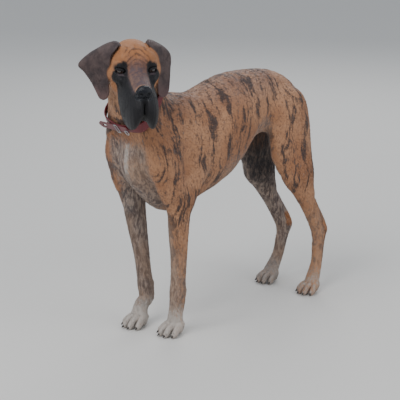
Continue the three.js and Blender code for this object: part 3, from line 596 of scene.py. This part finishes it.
eye_low, eye_high = (np.array(v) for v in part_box("eye_left"))
SHIFT = (eye_low + eye_high) / 2 - turned(from_head(EYE_AT))


def to_row(points):
    return turned(points) + SHIFT


# Markings


def face_marks(points, on_head, face):
    """Amounts of mask, mauve skin, nose, wrinkles and orange on the head."""
    across, f, u = to_head(points).T
    aside = np.abs(across)
    muzzle = ease(-14, 10, f + 0.10 * u) * ease(18, -4, u + 0.12 * f)
    round_eye = ease(1.35, 0.6, np.hypot((aside - 48) / 21, (u - 8) / 25)) * ease(-24, -4, f)
    brow = ease(1.5, 0.3, np.hypot((aside - 39) / 13, (u - 26) / 16)) * ease(-20, 0, f)
    bridge = ease(30, 12, aside) * ease(-28, -10, u) * ease(152, 120, f)
    bridge *= ease(20, 50, f)
    between = ease(24, 9, aside) * ease(50, 18, f) * ease(-18, -4, u)
    mask = np.maximum(np.maximum(muzzle * (1 - 0.42 * bridge), round_eye), 0.85 * brow)
    mask = face * mask * (1 - between)
    chin = ease(20, 60, f) * ease(-60, -80, u) * ease(0.1, 0.4, on_head)
    mask = np.maximum(mask, chin)
    lid = ease(1.2, 0.5, np.hypot((aside - 49) / 13, (u + 5.0) / 3.0)) * ease(-10, 6, f)
    mauve = ease(38, 22, aside) * ease(-30, -14, u) * ease(6, 44, f) + 0.7 * lid
    mauve = face * np.clip(mauve, 0, 1) * ease(152, 140, f)
    nose = face * ease(149, 154, f) * ease(29, 26, aside) * ease(-33, -28, u)
    wrinkle = face * ease(44, 30, aside) * ease(-34, -10, f) * ease(84, 70, u)
    wrinkle *= ease(44, 20, f)
    return mask, mauve, nose, wrinkle, face * (1 - mask) * ease(60, 20, f)


def body_marks(points, face):
    """Amounts of stripes, grey, darker coat with painted shade, pale, hock and smoke on trunk, neck and legs.
    """
    left, ahead, up = points.T
    side = np.abs(left)
    chest = ease(240, 330, ahead) * ease(730, 640, up) * ease(125, 70, side)
    blaze = ease(16, 6, np.abs(left - 4)) * ease(380, 400, ahead) * ease(690, 660, up)
    blaze *= ease(530, 590, up) * 0.6
    fore = ease(100, 180, ahead)
    fore_right = ease(500, 400, up) * ease(0, -20, left) * fore
    fore_left = ease(480, 180, up) * ease(0, 20, left) * fore
    belly = ease(640, 560, up) * ease(-190, -120, ahead) * ease(140, 60, ahead)
    flank = ease(1.3, 0.5, np.hypot((ahead + 110) / 60, (up - 640) / 70))
    hind = ease(-100, -160, ahead)
    inner = hind * ease(640, 600, up) * ease(86, 62, side)
    hind_right = hind * ease(-20, -40, left) * ease(560, 480, up)
    hind_left = hind * ease(20, 40, left) * ease(430, 250, up)
    hock = hind * ease(40, 15, np.abs(up - 232)) * ease(-396, -414, ahead)
    grey = 0.85 * chest + 0.9 * fore_right + 0.55 * fore_left + 0.5 * belly + 0.6 * flank
    grey = np.clip(grey + 0.9 * hind_right + 0.5 * hind_left + 0.6 * inner, 0, 1) * (1 - 0.8 * hock)
    high = ease(330, 470, up)
    # darker coat, partly painted shade on the inner thighs and the upper right hind leg
    dark_and_shade = np.clip(0.8 * inner * high + 0.35 * hind_right * high + 0.3 * fore_right, 0, 1)
    paws = ease(150, 35, up)
    lower = ease(430, 330, up)
    stripe = (1 - face) * (1 - 0.45 * lower) * (1 - 0.35 * chest) * (1 - paws) * (1 - 0.5 * flank)
    pale = np.clip(paws * np.where(ahead > 0, 0.9, 0.5) + blaze, 0, 1)
    smoke = (1 - face) * ease(740, 820, up) * ease(300, 200, np.abs(ahead - 60))
    return stripe, grey, dark_and_shade, pale, hock, smoke


def markings(points, on_head, ear_down, ear_amount):
    """Three sets of four amounts for each place.

    zone: mask, stripe, grey, darker coat with painted shade. tone: pale, ear, nose, orange. more: mauve,
    wrinkle, ear tip, smoke.
    """
    face = ease(0.3, 0.7, on_head)
    mask, mauve, nose, wrinkle, warm = face_marks(points, on_head, face)
    stripe, grey, dark_and_shade, pale, hock, smoke = body_marks(points, face)
    orange = warm + 0.4 * (1 - face) * ease(840, 700, points[:, 2])
    orange = np.clip(orange + 0.8 * hock, 0, 1)
    tip = ear_amount * ease(0.72, 0.95, ear_down)
    zone = np.stack([mask * (1 - ear_amount), stripe, grey, dark_and_shade], -1)
    tone = np.stack([pale, ear_amount, nose, orange], -1)
    return zone, tone, np.stack([mauve, wrinkle, tip, smoke], -1)


def place_facts(points):
    """How much head, how far down an ear, and how much ear a place has."""
    body, head, ear, down, _ = parts_of(points)
    on_head = ease(-18, 18, body - head)
    by_ear = ear < 6
    amount = ease(0.0, 5.0, np.minimum(body, head) - np.maximum(ear, -2)) * by_ear
    return np.where(by_ear, 1, on_head), down, amount


def lie_of(points, on_head, ear_amount):
    """The way the fur lies on the trunk, then on legs, neck, head and ears."""
    _, ahead, up = points.T
    way = np.tile([0.0, -1.0, -0.35], (len(points), 1))
    for amount, to in (
        (ease(600, 460, up), [0, -0.12, -1.0]),
        (ease(280, 380, ahead) * ease(600, 700, up), [0, -0.5, -0.85]),
        (on_head, HEAD @ [0, -1.0, -0.25]),
        (ear_amount, HEAD @ [0, -0.2, -1.0]),
    ):
        way = mix(way, np.array(to), amount[:, None])
    return way


# Materials


def linear(r, g, b):
    """A colour that is given as it looks, from 0 to 255."""
    def part(v):
        return v / 12.92 if v <= 0.04045 else ((v + 0.055) / 1.055) ** 2.4
    return (part(r / 255), part(g / 255), part(b / 255), 1.0)


FAWN_DEEP, FAWN_LIGHT = linear(150, 106, 78), linear(180, 136, 104)
ORANGE, SMOKE = linear(158, 100, 54), linear(112, 90, 84)
STRIPE, SPECKLE = linear(56, 45, 44), linear(78, 62, 58)
GREY_LIGHT, GREY_DEEP, GREY_WARM = linear(164, 150, 139), linear(88, 79, 78), linear(146, 118, 96)
# the first colour is a darker coat, also used as painted shade on the inner thighs
DARK_COAT_AND_SHADE, PALE = linear(46, 41, 43), linear(186, 178, 170)
VELVET_DEEP, VELVET_LIGHT, EAR_TIP = linear(62, 51, 52), linear(86, 71, 69), linear(118, 90, 88)
MASK_DEEP, MASK_LIGHT = linear(11, 10, 12), linear(27, 25, 29)
# the first colour is painted shade for the folds of the forehead
CREASE_SHADE, MAUVE, NOSE = linear(48, 32, 27), linear(78, 65, 70), linear(16, 18, 25)
FOLD_PITCH = 0.0085


class Nodes:
    """A short way to write a material's nodes."""

    def __init__(self, name):
        self.material = bpy.data.materials.new(name)
        self.material.use_nodes = True
        self.tree = self.material.node_tree
        self.shader = self.tree.nodes["Principled BSDF"]

    def put(self, socket, value):
        if isinstance(value, bpy.types.NodeSocket):
            self.tree.links.new(value, socket)
        else:
            socket.default_value = value

    def fill(self, node, inputs):
        for key, value in inputs.items():
            self.put(node.inputs[key.replace("_", " ")], value)
        return node

    def node(self, kind, **inputs):
        return self.fill(self.tree.nodes.new(kind), inputs)

    def finish(self, **inputs):
        """The material, with these inputs of the shader itself."""
        self.fill(self.shader, inputs)
        return self.material

    def combine(self, kind, operation, a, b):
        n = self.tree.nodes.new(kind)
        n.operation = operation
        self.put(n.inputs[0], a)
        self.put(n.inputs[1], b)
        return n.outputs[0]

    def math(self, operation, a, b=0.0):
        return self.combine("ShaderNodeMath", operation, a, b)

    def plus(self, a, b):
        return self.math("ADD", a, b)

    def minus(self, a, b):
        return self.math("SUBTRACT", a, b)

    def times(self, a, b):
        return self.math("MULTIPLY", a, b)

    def ramp(self, value, low, high, to_low=0.0, to_high=1.0):
        n = self.node("ShaderNodeMapRange", Value=value, From_Min=low, From_Max=high,
                      To_Min=to_low, To_Max=to_high)
        n.interpolation_type = "SMOOTHSTEP"
        return n.outputs["Result"]

    def mix(self, amount, a, b):
        n = self.tree.nodes.new("ShaderNodeMix")
        n.data_type = "RGBA"
        self.put(n.inputs["Factor"], amount)
        self.put(n.inputs[6], a)
        self.put(n.inputs[7], b)
        return n.outputs[2]

    def stretch(self, vector, x, y, z):
        return self.combine("ShaderNodeVectorMath", "MULTIPLY", vector, (x, y, z))

    def shift(self, vector, by):
        return self.combine("ShaderNodeVectorMath", "ADD", vector, by)

    def bump(self, height, strength, distance):
        n = self.node("ShaderNodeBump", Height=height, Strength=strength, Distance=distance)
        return n.outputs["Normal"]

    def noise(self, vector, scale=1.0, detail=2.0, rough=0.5, colour=False):
        n = self.node("ShaderNodeTexNoise", Vector=vector, Scale=scale, Detail=detail, Roughness=rough)
        return n.outputs["Color" if colour else "Fac"]

    def attribute(self, name):
        n = self.tree.nodes.new("ShaderNodeAttribute")
        n.attribute_name = name
        return n

    def channels(self, name):
        a = self.attribute(name)
        n = self.node("ShaderNodeSeparateColor", Color=a.outputs["Color"])
        return n.outputs[0], n.outputs[1], n.outputs[2], a.outputs["Alpha"]


def stripes_of(n, bent, uneven):
    """Broken, darker bands that run up and down the body."""
    broad = n.noise(n.stretch(bent, 9, 36, 6.5), 1, 2.5, 0.55)
    fine = n.noise(n.stretch(bent, 20, 95, 17), 1, 3, 0.62)
    band = n.plus(n.times(broad, 0.60), n.times(fine, 0.40))
    return n.ramp(n.plus(band, n.times(uneven, 0.38)), 0.49, 0.59, 0.0, 0.92)


def folds_of(n, place, wrinkle):
    """Folds of the forehead: arches over the brows that run down between the eyes. They darken the colour as
    painted shade and dent the bump.
    """
    wander = n.stretch(n.noise(place, 40, 2, colour=True), 0.008, 0.0, 0.013)
    face_at = n.attribute("face_at").outputs["Vector"]
    spot = n.node("ShaderNodeSeparateXYZ", Vector=n.shift(face_at, wander))
    rise = n.times(n.math("MAXIMUM", n.minus(spot.outputs[2], 0.006), 0.0), 0.8)
    across = n.minus(spot.outputs[0], 0.004)
    ring = n.math("SQRT", n.plus(n.times(across, across), n.times(rise, rise)))
    folds = n.ramp(n.math("SINE", n.times(ring, math.tau / FOLD_PITCH)), 0.1, 0.95)
    folds = n.times(folds, n.times(wrinkle, n.ramp(ring, 0.007, 0.013)))
    return n.times(folds, n.ramp(n.noise(place, 60, 2), 0.34, 0.5, 0.3, 1.0))


def coat_material():
    n = Nodes("coat")
    place = n.attribute("place").outputs["Vector"]
    mask, stripe, grey, dark_and_shade = n.channels("zone")
    pale, ear, nose, orange = n.channels("tone")
    mauve, wrinkle, tip, smoke = n.channels("more")
    bent = n.shift(place, n.stretch(n.noise(place, 9, 2, colour=True), 0.05, 0.05, 0.03))
    hairs = n.noise(n.stretch(place, 480, 480, 90), 1, 3, 0.6)
    mottle = n.noise(n.stretch(bent, 105, 105, 30), 1, 4, 0.66)
    uneven = n.plus(n.minus(mottle, 0.5), n.times(n.minus(hairs, 0.5), 0.7))
    low = n.noise(place, 7, 2)

    def soft(amount):
        """The amount with an uneven edge."""
        return n.ramp(n.plus(amount, n.times(uneven, 1.6)), 0.2, 0.9)

    # fawn, with orange and smoky places, stripes and specks
    colour = n.mix(n.ramp(low, 0.35, 0.65), FAWN_DEEP, FAWN_LIGHT)
    colour = n.mix(n.times(orange, 0.6), colour, ORANGE)
    colour = n.mix(n.times(smoke, n.ramp(mottle, 0.35, 0.65, 0.25, 0.75)), colour, SMOKE)
    colour = n.mix(n.times(stripes_of(n, bent, uneven), stripe), colour, STRIPE)
    specks = n.ramp(n.noise(n.stretch(bent, 260, 260, 70), 1, 3, 0.7), 0.52, 0.64, 0.0, 0.65)
    colour = n.mix(n.times(specks, stripe), colour, SPECKLE)
    # grey, mottled places: chest, inner legs, belly
    grizzle = n.mix(n.ramp(mottle, 0.40, 0.60), GREY_LIGHT, GREY_DEEP)
    grizzle = n.mix(n.ramp(low, 0.4, 0.6, 0.0, 0.5), grizzle, GREY_WARM)
    colour = n.mix(n.times(soft(grey), 0.88), colour, grizzle)
    # darker coat, partly painted shade on the inner thighs and the upper right hind leg
    colour = n.mix(n.times(dark_and_shade, n.ramp(mottle, 0.3, 0.6, 0.6, 1.0)), colour, DARK_COAT_AND_SHADE)
    colour = n.mix(n.times(soft(pale), 0.85), colour, PALE)
    velvet = n.mix(n.ramp(n.noise(place, 30, 3), 0.35, 0.65), VELVET_DEEP, VELVET_LIGHT)
    colour = n.mix(ear, colour, n.mix(n.times(tip, 0.5), velvet, EAR_TIP))
    # the face: painted shade in the folds, mask, bridge and nose
    folds = folds_of(n, place, wrinkle)
    # painted shade: the forehead folds are darkened in colour, on top of their bump
    colour = n.mix(n.times(folds, 0.62), colour, CREASE_SHADE)
    black = n.mix(n.ramp(hairs, 0.3, 0.7), MASK_DEEP, MASK_LIGHT)
    colour = n.mix(n.ramp(n.plus(mask, n.times(uneven, 0.7)), 0.25, 0.8), colour, black)
    streak = n.noise(n.stretch(place, 130, 130, 40), 1, 3, 0.6)
    colour = n.mix(n.times(mauve, n.ramp(streak, 0.38, 0.62, 1.0, 0.7)), colour, MAUVE)
    pebbles = n.node("ShaderNodeTexVoronoi", Vector=place, Scale=420.0).outputs["Distance"]
    height = n.plus(n.times(hairs, n.minus(1.0, nose)), n.times(pebbles, n.times(nose, 0.9)))
    height = n.minus(height, n.times(folds, 1.6))
    return n.finish(
        Base_Color=n.mix(nose, colour, NOSE), Roughness=n.ramp(nose, 0.0, 1.0, 0.62, 0.26),
        Specular_IOR_Level=0.28, Sheen_Weight=0.06, Sheen_Roughness=0.5, Normal=n.bump(height, 0.6, 0.0012),
    )


def plain_material(name, colour, roughness, metallic=0.0, coat=0.0):
    n = Nodes(name)
    grain = n.noise(n.node("ShaderNodeTexCoord").outputs["Object"], 120, 4, 0.6)
    darker = tuple(c * 0.72 for c in colour[:3]) + (1.0,)
    return n.finish(
        Base_Color=n.mix(n.ramp(grain, 0.3, 0.7), darker, colour), Roughness=roughness, Metallic=metallic,
        Coat_Weight=coat, Normal=n.bump(grain, 0.25, 0.0006),
    )


COAT_LOOK = coat_material()

# Pieces


def mesh_object(name, vertices, faces, material, smooth=True):
    """A mesh from row-frame vertices in metres and faces with the same number of corners."""
    faces = np.asarray(faces)
    mesh = bpy.data.meshes.new(name)
    mesh.vertices.add(len(vertices))
    mesh.vertices.foreach_set("co", np.ascontiguousarray(vertices, np.float32).ravel())
    corners = faces.shape[1]
    mesh.loops.add(faces.size)
    mesh.loops.foreach_set("vertex_index", faces.ravel().astype(np.int32))
    mesh.polygons.add(len(faces))
    mesh.polygons.foreach_set("loop_start", np.arange(0, faces.size, corners, dtype=np.int32))
    mesh.polygons.foreach_set("loop_total", np.full(len(faces), corners, np.int32))
    mesh.polygons.foreach_set("use_smooth", np.full(len(faces), smooth))
    mesh.update(calc_edges=True)
    mesh.validate()
    mesh.materials.append(material)
    obj = bpy.data.objects.new(name, mesh)
    scene.collection.objects.link(obj)
    return obj


def ring_faces(rings, count, closed=False):
    """Quads between rings of `count` points, and from the last ring to the first where it is closed."""
    i, j = np.meshgrid(np.arange(rings if closed else rings - 1), np.arange(count), indexing="ij")
    after, beside = (i + 1) % rings, (j + 1) % count
    quads = [i * count + j, i * count + beside, after * count + beside, after * count + j]
    return np.stack(quads, -1).reshape(-1, 4)


def attach(obj, name, kind, field, values):
    """An attribute with a value for each vertex."""
    data = obj.data.attributes.new(name, kind, "POINT").data
    data.foreach_set(field, np.ascontiguousarray(values, np.float32).ravel())


def give_places(obj, places, marks, times=1):
    """Each place, in the body's and the head's frame, and its markings, for `times` vertices each."""
    for name, values in (("place", places), ("face_at", to_head(places))):
        attach(obj, name, "FLOAT_VECTOR", "vector", np.repeat(values / 1000, times, 0))
    for name, values in zip(("zone", "tone", "more"), marks):
        attach(obj, name, "FLOAT_COLOR", "color", np.repeat(values, times, 0))


FLESH = [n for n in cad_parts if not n.startswith(("eye", "claw", "collar"))]
on_head, ear_down, ear_amount = place_facts(skin_v)
skin = mesh_object("skin", to_row(skin_v), skin_q, COAT_LOOK)
give_places(skin, skin_v, markings(skin_v, on_head, ear_down, ear_amount))
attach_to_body(skin, "root")
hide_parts(*FLESH)

# Eyes

EYE_RINGS, EYE_SPOKES = 33, 48
PUPIL, IRIS = 0.26, 0.65
CORNEA = 0.9


def eye_material():
    """Black, brown and white by the angle from the middle of the pupil."""
    n = Nodes("eye")
    angle = n.attribute("angle").outputs["Fac"]
    rays = n.noise(n.stretch(n.node("ShaderNodeTexCoord").outputs["Object"], 900, 900, 900), 1, 2)
    iris = n.mix(n.ramp(rays, 0.3, 0.7), linear(34, 20, 13), linear(62, 38, 24))
    colour = n.mix(n.ramp(angle, IRIS - 0.03, IRIS + 0.03), iris, linear(96, 80, 76))
    colour = n.mix(n.ramp(angle, PUPIL - 0.02, PUPIL + 0.02), linear(4, 4, 5), colour)
    return n.finish(Base_Color=colour, Roughness=0.08, Coat_Weight=1.0, Coat_Roughness=0.03)


EYE_LOOK = eye_material()
for name, side in (("left", 1), ("right", -1)):
    mirror = np.array([side, 1, 1])
    turn = Vector(HEAD @ (GAZE * mirror)).to_track_quat("Z", "Y").to_matrix()
    u, w = np.meshgrid(np.linspace(0, math.pi, EYE_RINGS), turns(EYE_SPOKES), indexing="ij")
    rays = np.stack([np.sin(u) * np.cos(w), np.sin(u) * np.sin(w), np.cos(u)], -1).reshape(-1, 3)
    bulge = EYE_RADIUS - EYE_PLAY + CORNEA * ease(0.75, 0.3, u.ravel())
    points = from_head(EYE_AT * mirror) + (rays * bulge[:, None]) @ np.array(turn).T
    eye = mesh_object(f"eyeball_{name}", to_row(points), ring_faces(EYE_RINGS, EYE_SPOKES)[:, ::-1], EYE_LOOK)
    attach(eye, "angle", "FLOAT", "value", u)
    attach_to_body(eye, "root")
    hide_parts(f"eye_{name}")

# Claws

CLAW_LENGTH, CLAW_RADIUS, CLAW_HOOK = 19.0, 5.0, 0.28
CLAW_RINGS, CLAW_SPOKES = 8, 12


def claw_points(side, paw, size, out, reach):
    """The rings of one claw, which bends down and thins out."""
    start = np.array([side * (paw[0] + out * TOE_FAN * size), paw[1] + (reach - 2) * size, 14 * size])
    along = unit(np.array([side * out * 0.006, 1, -0.18]))
    across = unit(np.cross([0, 0, 1.0], along))
    above = np.cross(along, across)
    above *= np.sign(above[2])
    w = turns(CLAW_SPOKES)[:, None]
    rings = []
    for t in np.linspace(0, 1, CLAW_RINGS):
        middle = start + along * CLAW_LENGTH * size * t - above * CLAW_LENGTH * size * CLAW_HOOK * t * t
        r = CLAW_RADIUS * size * math.sqrt(1 - 0.95 * t * t)
        rings.append(middle + across * np.cos(w) * r * 0.8 + above * np.sin(w) * r)
    return np.concatenate(rings)


claw_v = [claw_points(*paw, *toe) for paw in PAWS.values() for toe in zip(TOE_SPREAD, TOE_REACH)]
claw_f = [ring_faces(CLAW_RINGS, CLAW_SPOKES) + n * CLAW_RINGS * CLAW_SPOKES for n in range(len(claw_v))]
HORN = plain_material("horn", linear(58, 50, 46), 0.35)
claws = mesh_object("claws", to_row(np.concatenate(claw_v)), np.concatenate(claw_f), HORN)
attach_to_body(claws, "root")
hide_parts(*[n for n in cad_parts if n.startswith("claw")])

# Collar

SECTIONS = 180
STRAP_HALF = 13.0
COLLAR_FACES = np.array([0.08, 0.717, 0.697])
COLLAR_AHEAD, COLLAR_LEVEL = 378, 842.0
WIDEST_NECK, NECK_STEPS = 170.0, 30
STITCH_LINE, STITCH_OUT = 9.8, 5.75
STITCH_HALF_WIDTH, STITCH_HALF_DEPTH = 0.55, 0.5
# The strap's section: the place across it and how far out from the neck
STRAP_PROFILE = [
    (-12.2, 1.6), (12.2, 1.6), (13.0, 2.5), (13.0, 4.7), (12.2, 5.5), (8.0, 5.7), (-8.0, 5.7), (-12.2, 5.5),
    (-13.0, 4.7), (-13.0, 2.5),
]


def strap_frame():
    """Rays through the strap and, for its two edges, where they start and leave the neck."""
    along = unit(COLLAR_FACES)
    middle = np.array([0, COLLAR_AHEAD, (COLLAR_LEVEL - COLLAR_FACES[1] * COLLAR_AHEAD) / COLLAR_FACES[2]])
    aside = unit(np.array([1.0, 0, 0]) - along[0] * along)
    above = np.cross(along, aside)
    angle = turns(SECTIONS)[:, None]
    rays = np.cos(angle) * aside + np.sin(angle) * above
    starts, reaches = [], []
    for shift in (-STRAP_HALF, 0.0, STRAP_HALF):
        start = middle + along * shift
        r = np.full(SECTIONS, WIDEST_NECK)
        for _ in range(NECK_STEPS):
            body, head, *_ = parts_of(start + rays * r[:, None])
            r -= 0.8 * melt(body, head, HEAD_BLEND)
        starts.append(start)
        reaches.append(r)
    widest = np.max(reaches, 0)
    low, high = mix(reaches[0], widest, 0.5), mix(reaches[2], widest, 0.5)
    return rays, (starts[0], starts[2]), (low, high)


def strap_places(rays, starts, reaches, shift, out):
    """Places round the neck, `shift` across the strap and `out` from the neck."""
    t = (shift / STRAP_HALF + 1) / 2
    return mix(starts[0], starts[1], t) + rays * (mix(reaches[0], reaches[1], t) + out)[:, None]


LEATHER = plain_material("burgundy leather", linear(104, 16, 28), 0.45, 0.0, 0.2)
THREAD = plain_material("thread", linear(170, 120, 118), 0.8)
STEEL = plain_material("steel", linear(196, 198, 202), 0.28, 1.0)
strap_lines = strap_frame()
strap_v = np.stack([strap_places(*strap_lines, shift, out) for shift, out in STRAP_PROFILE], 1).reshape(-1, 3)
strap = mesh_object("strap", to_row(strap_v), ring_faces(SECTIONS, len(STRAP_PROFILE), closed=True), LEATHER)
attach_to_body(strap, "root")
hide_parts("collar_strap")

# A stitch has two ends, two sides, an outer and an inner point
stitch_v, stitch_f = [], []
for shift in (-STITCH_LINE, STITCH_LINE):
    line = strap_places(*strap_lines, shift, STITCH_OUT)
    for i in range(0, SECTIONS, 2):
        a, b, ray = line[i], line[(i + 1) % SECTIONS], strap_lines[0][i]
        aside, deep = unit(np.cross(b - a, ray)) * STITCH_HALF_WIDTH, ray * STITCH_HALF_DEPTH
        first, middle = len(stitch_v), (a + b) / 2
        stitch_v += [a, b, middle + aside, middle - aside, middle + deep, middle - deep]
        for side, above in ((2, 4), (4, 3), (3, 5), (5, 2)):
            stitch_f += [(first, first + above, first + side), (first + 1, first + side, first + above)]
stitches = mesh_object("stitches", to_row(np.array(stitch_v)), stitch_f, THREAD)
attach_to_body(stitches, "root")

for name, look in (("collar_tongue", LEATHER), ("collar_buckle", STEEL), ("collar_ring", STEEL)):
    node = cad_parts[name]
    for slot in node.material_slots:
        slot.material = look
    edge = node.modifiers.new("edge", "BEVEL")
    edge.width, edge.segments, edge.limit_method = 0.0008, 3, "ANGLE"

# The short coat: small blades that lie along the body

rng = np.random.default_rng(7)
# A blade has three points at the root, three halfway and the tip
BLADE_FACES = np.array([
    [0, 2, 1], [0, 1, 4], [0, 4, 3], [1, 2, 5], [1, 5, 4], [2, 0, 3], [2, 3, 5],
    [3, 4, 6], [4, 5, 6], [5, 3, 6],
])
BLADE_PATCH = np.array([[0, 0], [1, 0], [0.5, 0.3], [0, 0.6], [1, 0.6], [0.5, 0.7], [0.5, 1]])
PATCH_SIZE, TILE_EDGE = 0.003, 0.03
ROOT_DEPTH, STRAY = 0.35, 0.16
LEG_TOP, FEET_TOP, SOLES = 470, 95, 8


def share(x, low, high):
    return (x - low) / (high - low)


def wound(across, beside):
    """The share of a turn round a part's own axis."""
    return np.arctan2(across, beside) / math.tau + 0.5


def unwrap(points, on_head, amount):
    """A place in the unit square for each root. Trunk, legs, head and ears have a tile each."""
    left, ahead, up = points.T
    local = to_head(points)
    tile = np.zeros(len(points), int)
    wind, along = wound(left, up - 680), share(ahead, -480, 480)
    for n, (s, front) in enumerate(((1, True), (-1, True), (1, False), (-1, False))):
        m = (up < LEG_TOP) & ((left > 0) == (s > 0)) & ((ahead > 100) == front)
        tile[m] = n + 1
        wind[m] = wound(left[m] - s * 90, ahead[m] - (300 if front else -360))
        along[m] = share(up[m], 0, LEG_TOP)
    m = on_head > 0.5
    tile[m] = 5
    wind[m], along[m] = wound(local[m, 0], local[m, 2] + 30), share(local[m, 1], -160, 190)
    m = amount > 0.5
    tile[m] = np.where(local[m, 0] > 0, 6, 7)
    wind[m], along[m] = share(local[m, 1], -120, 0), share(local[m, 2], -130, 100)
    u = (tile % 4 + TILE_EDGE + (1 - 2 * TILE_EDGE) * np.clip(wind, 0, 1)) / 4
    v = (tile // 4 + TILE_EDGE + (1 - 2 * TILE_EDGE) * np.clip(along, 0, 1)) / 2
    return np.stack([u, v], -1)


def coat_part(middle, head, ear):
    """The piece of fur that grows at each place. Nose and soles are bare."""
    _, ahead, up = middle.T
    nose = (head >= 0.5) & (to_head(middle) @ [0, 1, -0.3] >= 160)
    return np.select(
        [ear >= 0.3, nose, head >= 0.5, up <= SOLES, up <= FEET_TOP, ahead > 60],
        ["fur_ears", "bare", "fur_head", "bare", "fur_feet", "fur_body_1"], "fur_body_2")


def more_on_edges(points):
    """More fur behind the thighs, under the belly and along the back."""
    _, ahead, up = points.T
    return 1 + 1.2 * ease(-230, -300, ahead) + 0.8 * ease(560, 500, up) + 0.8 * ease(790, 830, up)


def scatter(name, count, weight):
    """Random roots on a piece's part of the skin, their normals and a corner of their triangles."""
    tri = np.concatenate([skin_q[:, [0, 1, 2]], skin_q[:, [0, 2, 3]]])
    tri = tri[coat_part(skin_v[tri].mean(1), on_head[tri[:, 0]], ear_amount[tri[:, 0]]) == name]
    corners = skin_v[tri]
    area = np.linalg.norm(np.cross(corners[:, 1] - corners[:, 0], corners[:, 2] - corners[:, 0]), axis=1)
    if weight:
        area *= weight(corners.mean(1))
    pick = rng.choice(len(tri), count, p=area / area.sum())
    a, b = rng.random((2, count))
    over = a + b > 1
    a[over], b[over] = 1 - a[over], 1 - b[over]
    parts = np.stack([1 - a - b, a, b], -1)[:, :, None]
    root = (corners[pick] * parts).sum(1)
    normal = unit((skin_n[tri[pick]] * parts).sum(1))
    return root, normal, tri[pick, 0]


def make_tufts(name, count, length, width, lift, weight=None):
    """`count` blades with this length, width and lift at the tip."""
    root, normal, corner = scatter(name, count, weight)
    head_part, ear_part = on_head[corner], ear_amount[corner]
    way = lie_of(root, head_part, ear_part) + rng.normal(0, STRAY, (count, 3))
    way -= (way * normal).sum(1, keepdims=True) * normal
    way /= np.maximum(np.linalg.norm(way, axis=1, keepdims=True), 1e-6)
    across = np.cross(normal, way)
    size = length * rng.uniform(0.7, 1.25, count)[:, None]
    wide = width * rng.uniform(0.7, 1.2, count)[:, None]
    rise = lift * rng.uniform(0.5, 1.5, count)[:, None]
    base = root - ROOT_DEPTH * normal
    mid = root + way * size * 0.5 + normal * (0.15 + rise * 0.5)
    tip = root + way * size + normal * (0.05 + rise)
    v = np.stack([
        base - across * wide * 0.35, base + across * wide * 0.35, root + normal * 0.2,
        mid - across * wide * 0.5, mid + across * wide * 0.5, mid + normal * 0.25,
        tip,
    ], 1)
    blade = len(BLADE_PATCH)
    faces = (np.arange(count)[:, None, None] * blade + BLADE_FACES).reshape(-1, 3)
    obj = mesh_object(name, to_row(v.reshape(-1, 3)), faces, COAT_LOOK)
    give_places(obj, root, markings(root, head_part, ear_down[corner], ear_part), blade)
    uv = (unwrap(root, head_part, ear_part)[:, None] + BLADE_PATCH * PATCH_SIZE).reshape(-1, 2)
    layer = obj.data.uv_layers.new(name="OFBake")
    layer.data.foreach_set("uv", np.ascontiguousarray(uv[faces.ravel()], np.float32).ravel())
    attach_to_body(obj, "root")


make_tufts("fur_body_1", 19000, 10, 1.0, 0.55, more_on_edges)
make_tufts("fur_body_2", 19000, 10, 1.0, 0.55, more_on_edges)
make_tufts("fur_head", 12000, 4.5, 0.7, 0.25)
make_tufts("fur_ears", 5000, 4.5, 0.7, 0.25)
make_tufts("fur_feet", 6000, 5.5, 0.9, 0.45)

# Floor, light and camera

FLOOR_LOOK = Nodes("floor").finish(Base_Color=linear(214, 212, 208), Roughness=0.9)
FLOOR_HALF = 40.0
FLOOR_CORNERS = np.array([[-1, -1, 0], [1, -1, 0], [1, 1, 0], [-1, 1, 0]]) * FLOOR_HALF
floor = mesh_object("floor", FLOOR_CORNERS, [(0, 1, 2, 3)], FLOOR_LOOK, False)

world = bpy.data.worlds.new("sky")
scene.world = world
world.use_nodes = True
sky = world.node_tree.nodes["Background"]
sky.inputs["Color"].default_value = (0.86, 0.92, 1.0, 1.0)
sky.inputs["Strength"].default_value = 0.62


def area_light(name, at, energy, size):
    data = bpy.data.lights.new(name, "AREA")
    data.energy, data.size = energy, size
    obj = bpy.data.objects.new(name, data)
    obj.location = at
    obj.rotation_euler = (Vector((0, 0, 0.5)) - Vector(at)).to_track_quat("-Z", "Y").to_euler()
    scene.collection.objects.link(obj)


area_light("key", (0.5, -3.2, 4.2), 155, 3.0)
area_light("fill", (4.0, 1.0, 2.6), 55, 3.0)
area_light("rim", (-2.5, 3.5, 3.5), 70, 2.5)

CAMERA_AT = np.array([3183.0, 3106.0, 1625.0])
LOOK = Vector((-0.70153, 0.66116, -0.26594)).normalized()
PHOTO_SIZE, FOCAL_PIXELS, SENSOR = 400, 1311.0, 36.0
camera = bpy.data.objects.new("camera", bpy.data.cameras.new("camera"))
camera.data.lens, camera.data.sensor_width = FOCAL_PIXELS * SENSOR / PHOTO_SIZE, SENSOR
camera.data.clip_end = 100.0
camera.data.dof.use_dof = False
right = LOOK.cross(Vector((0, 0, 1))).normalized()
above = right.cross(LOOK)
facing = Matrix((right, above, -LOOK)).transposed().to_4x4()
camera.matrix_world = Matrix.Translation(Vector(to_row(CAMERA_AT))) @ facing
scene.collection.objects.link(camera)
bpy.context.scene.camera = camera
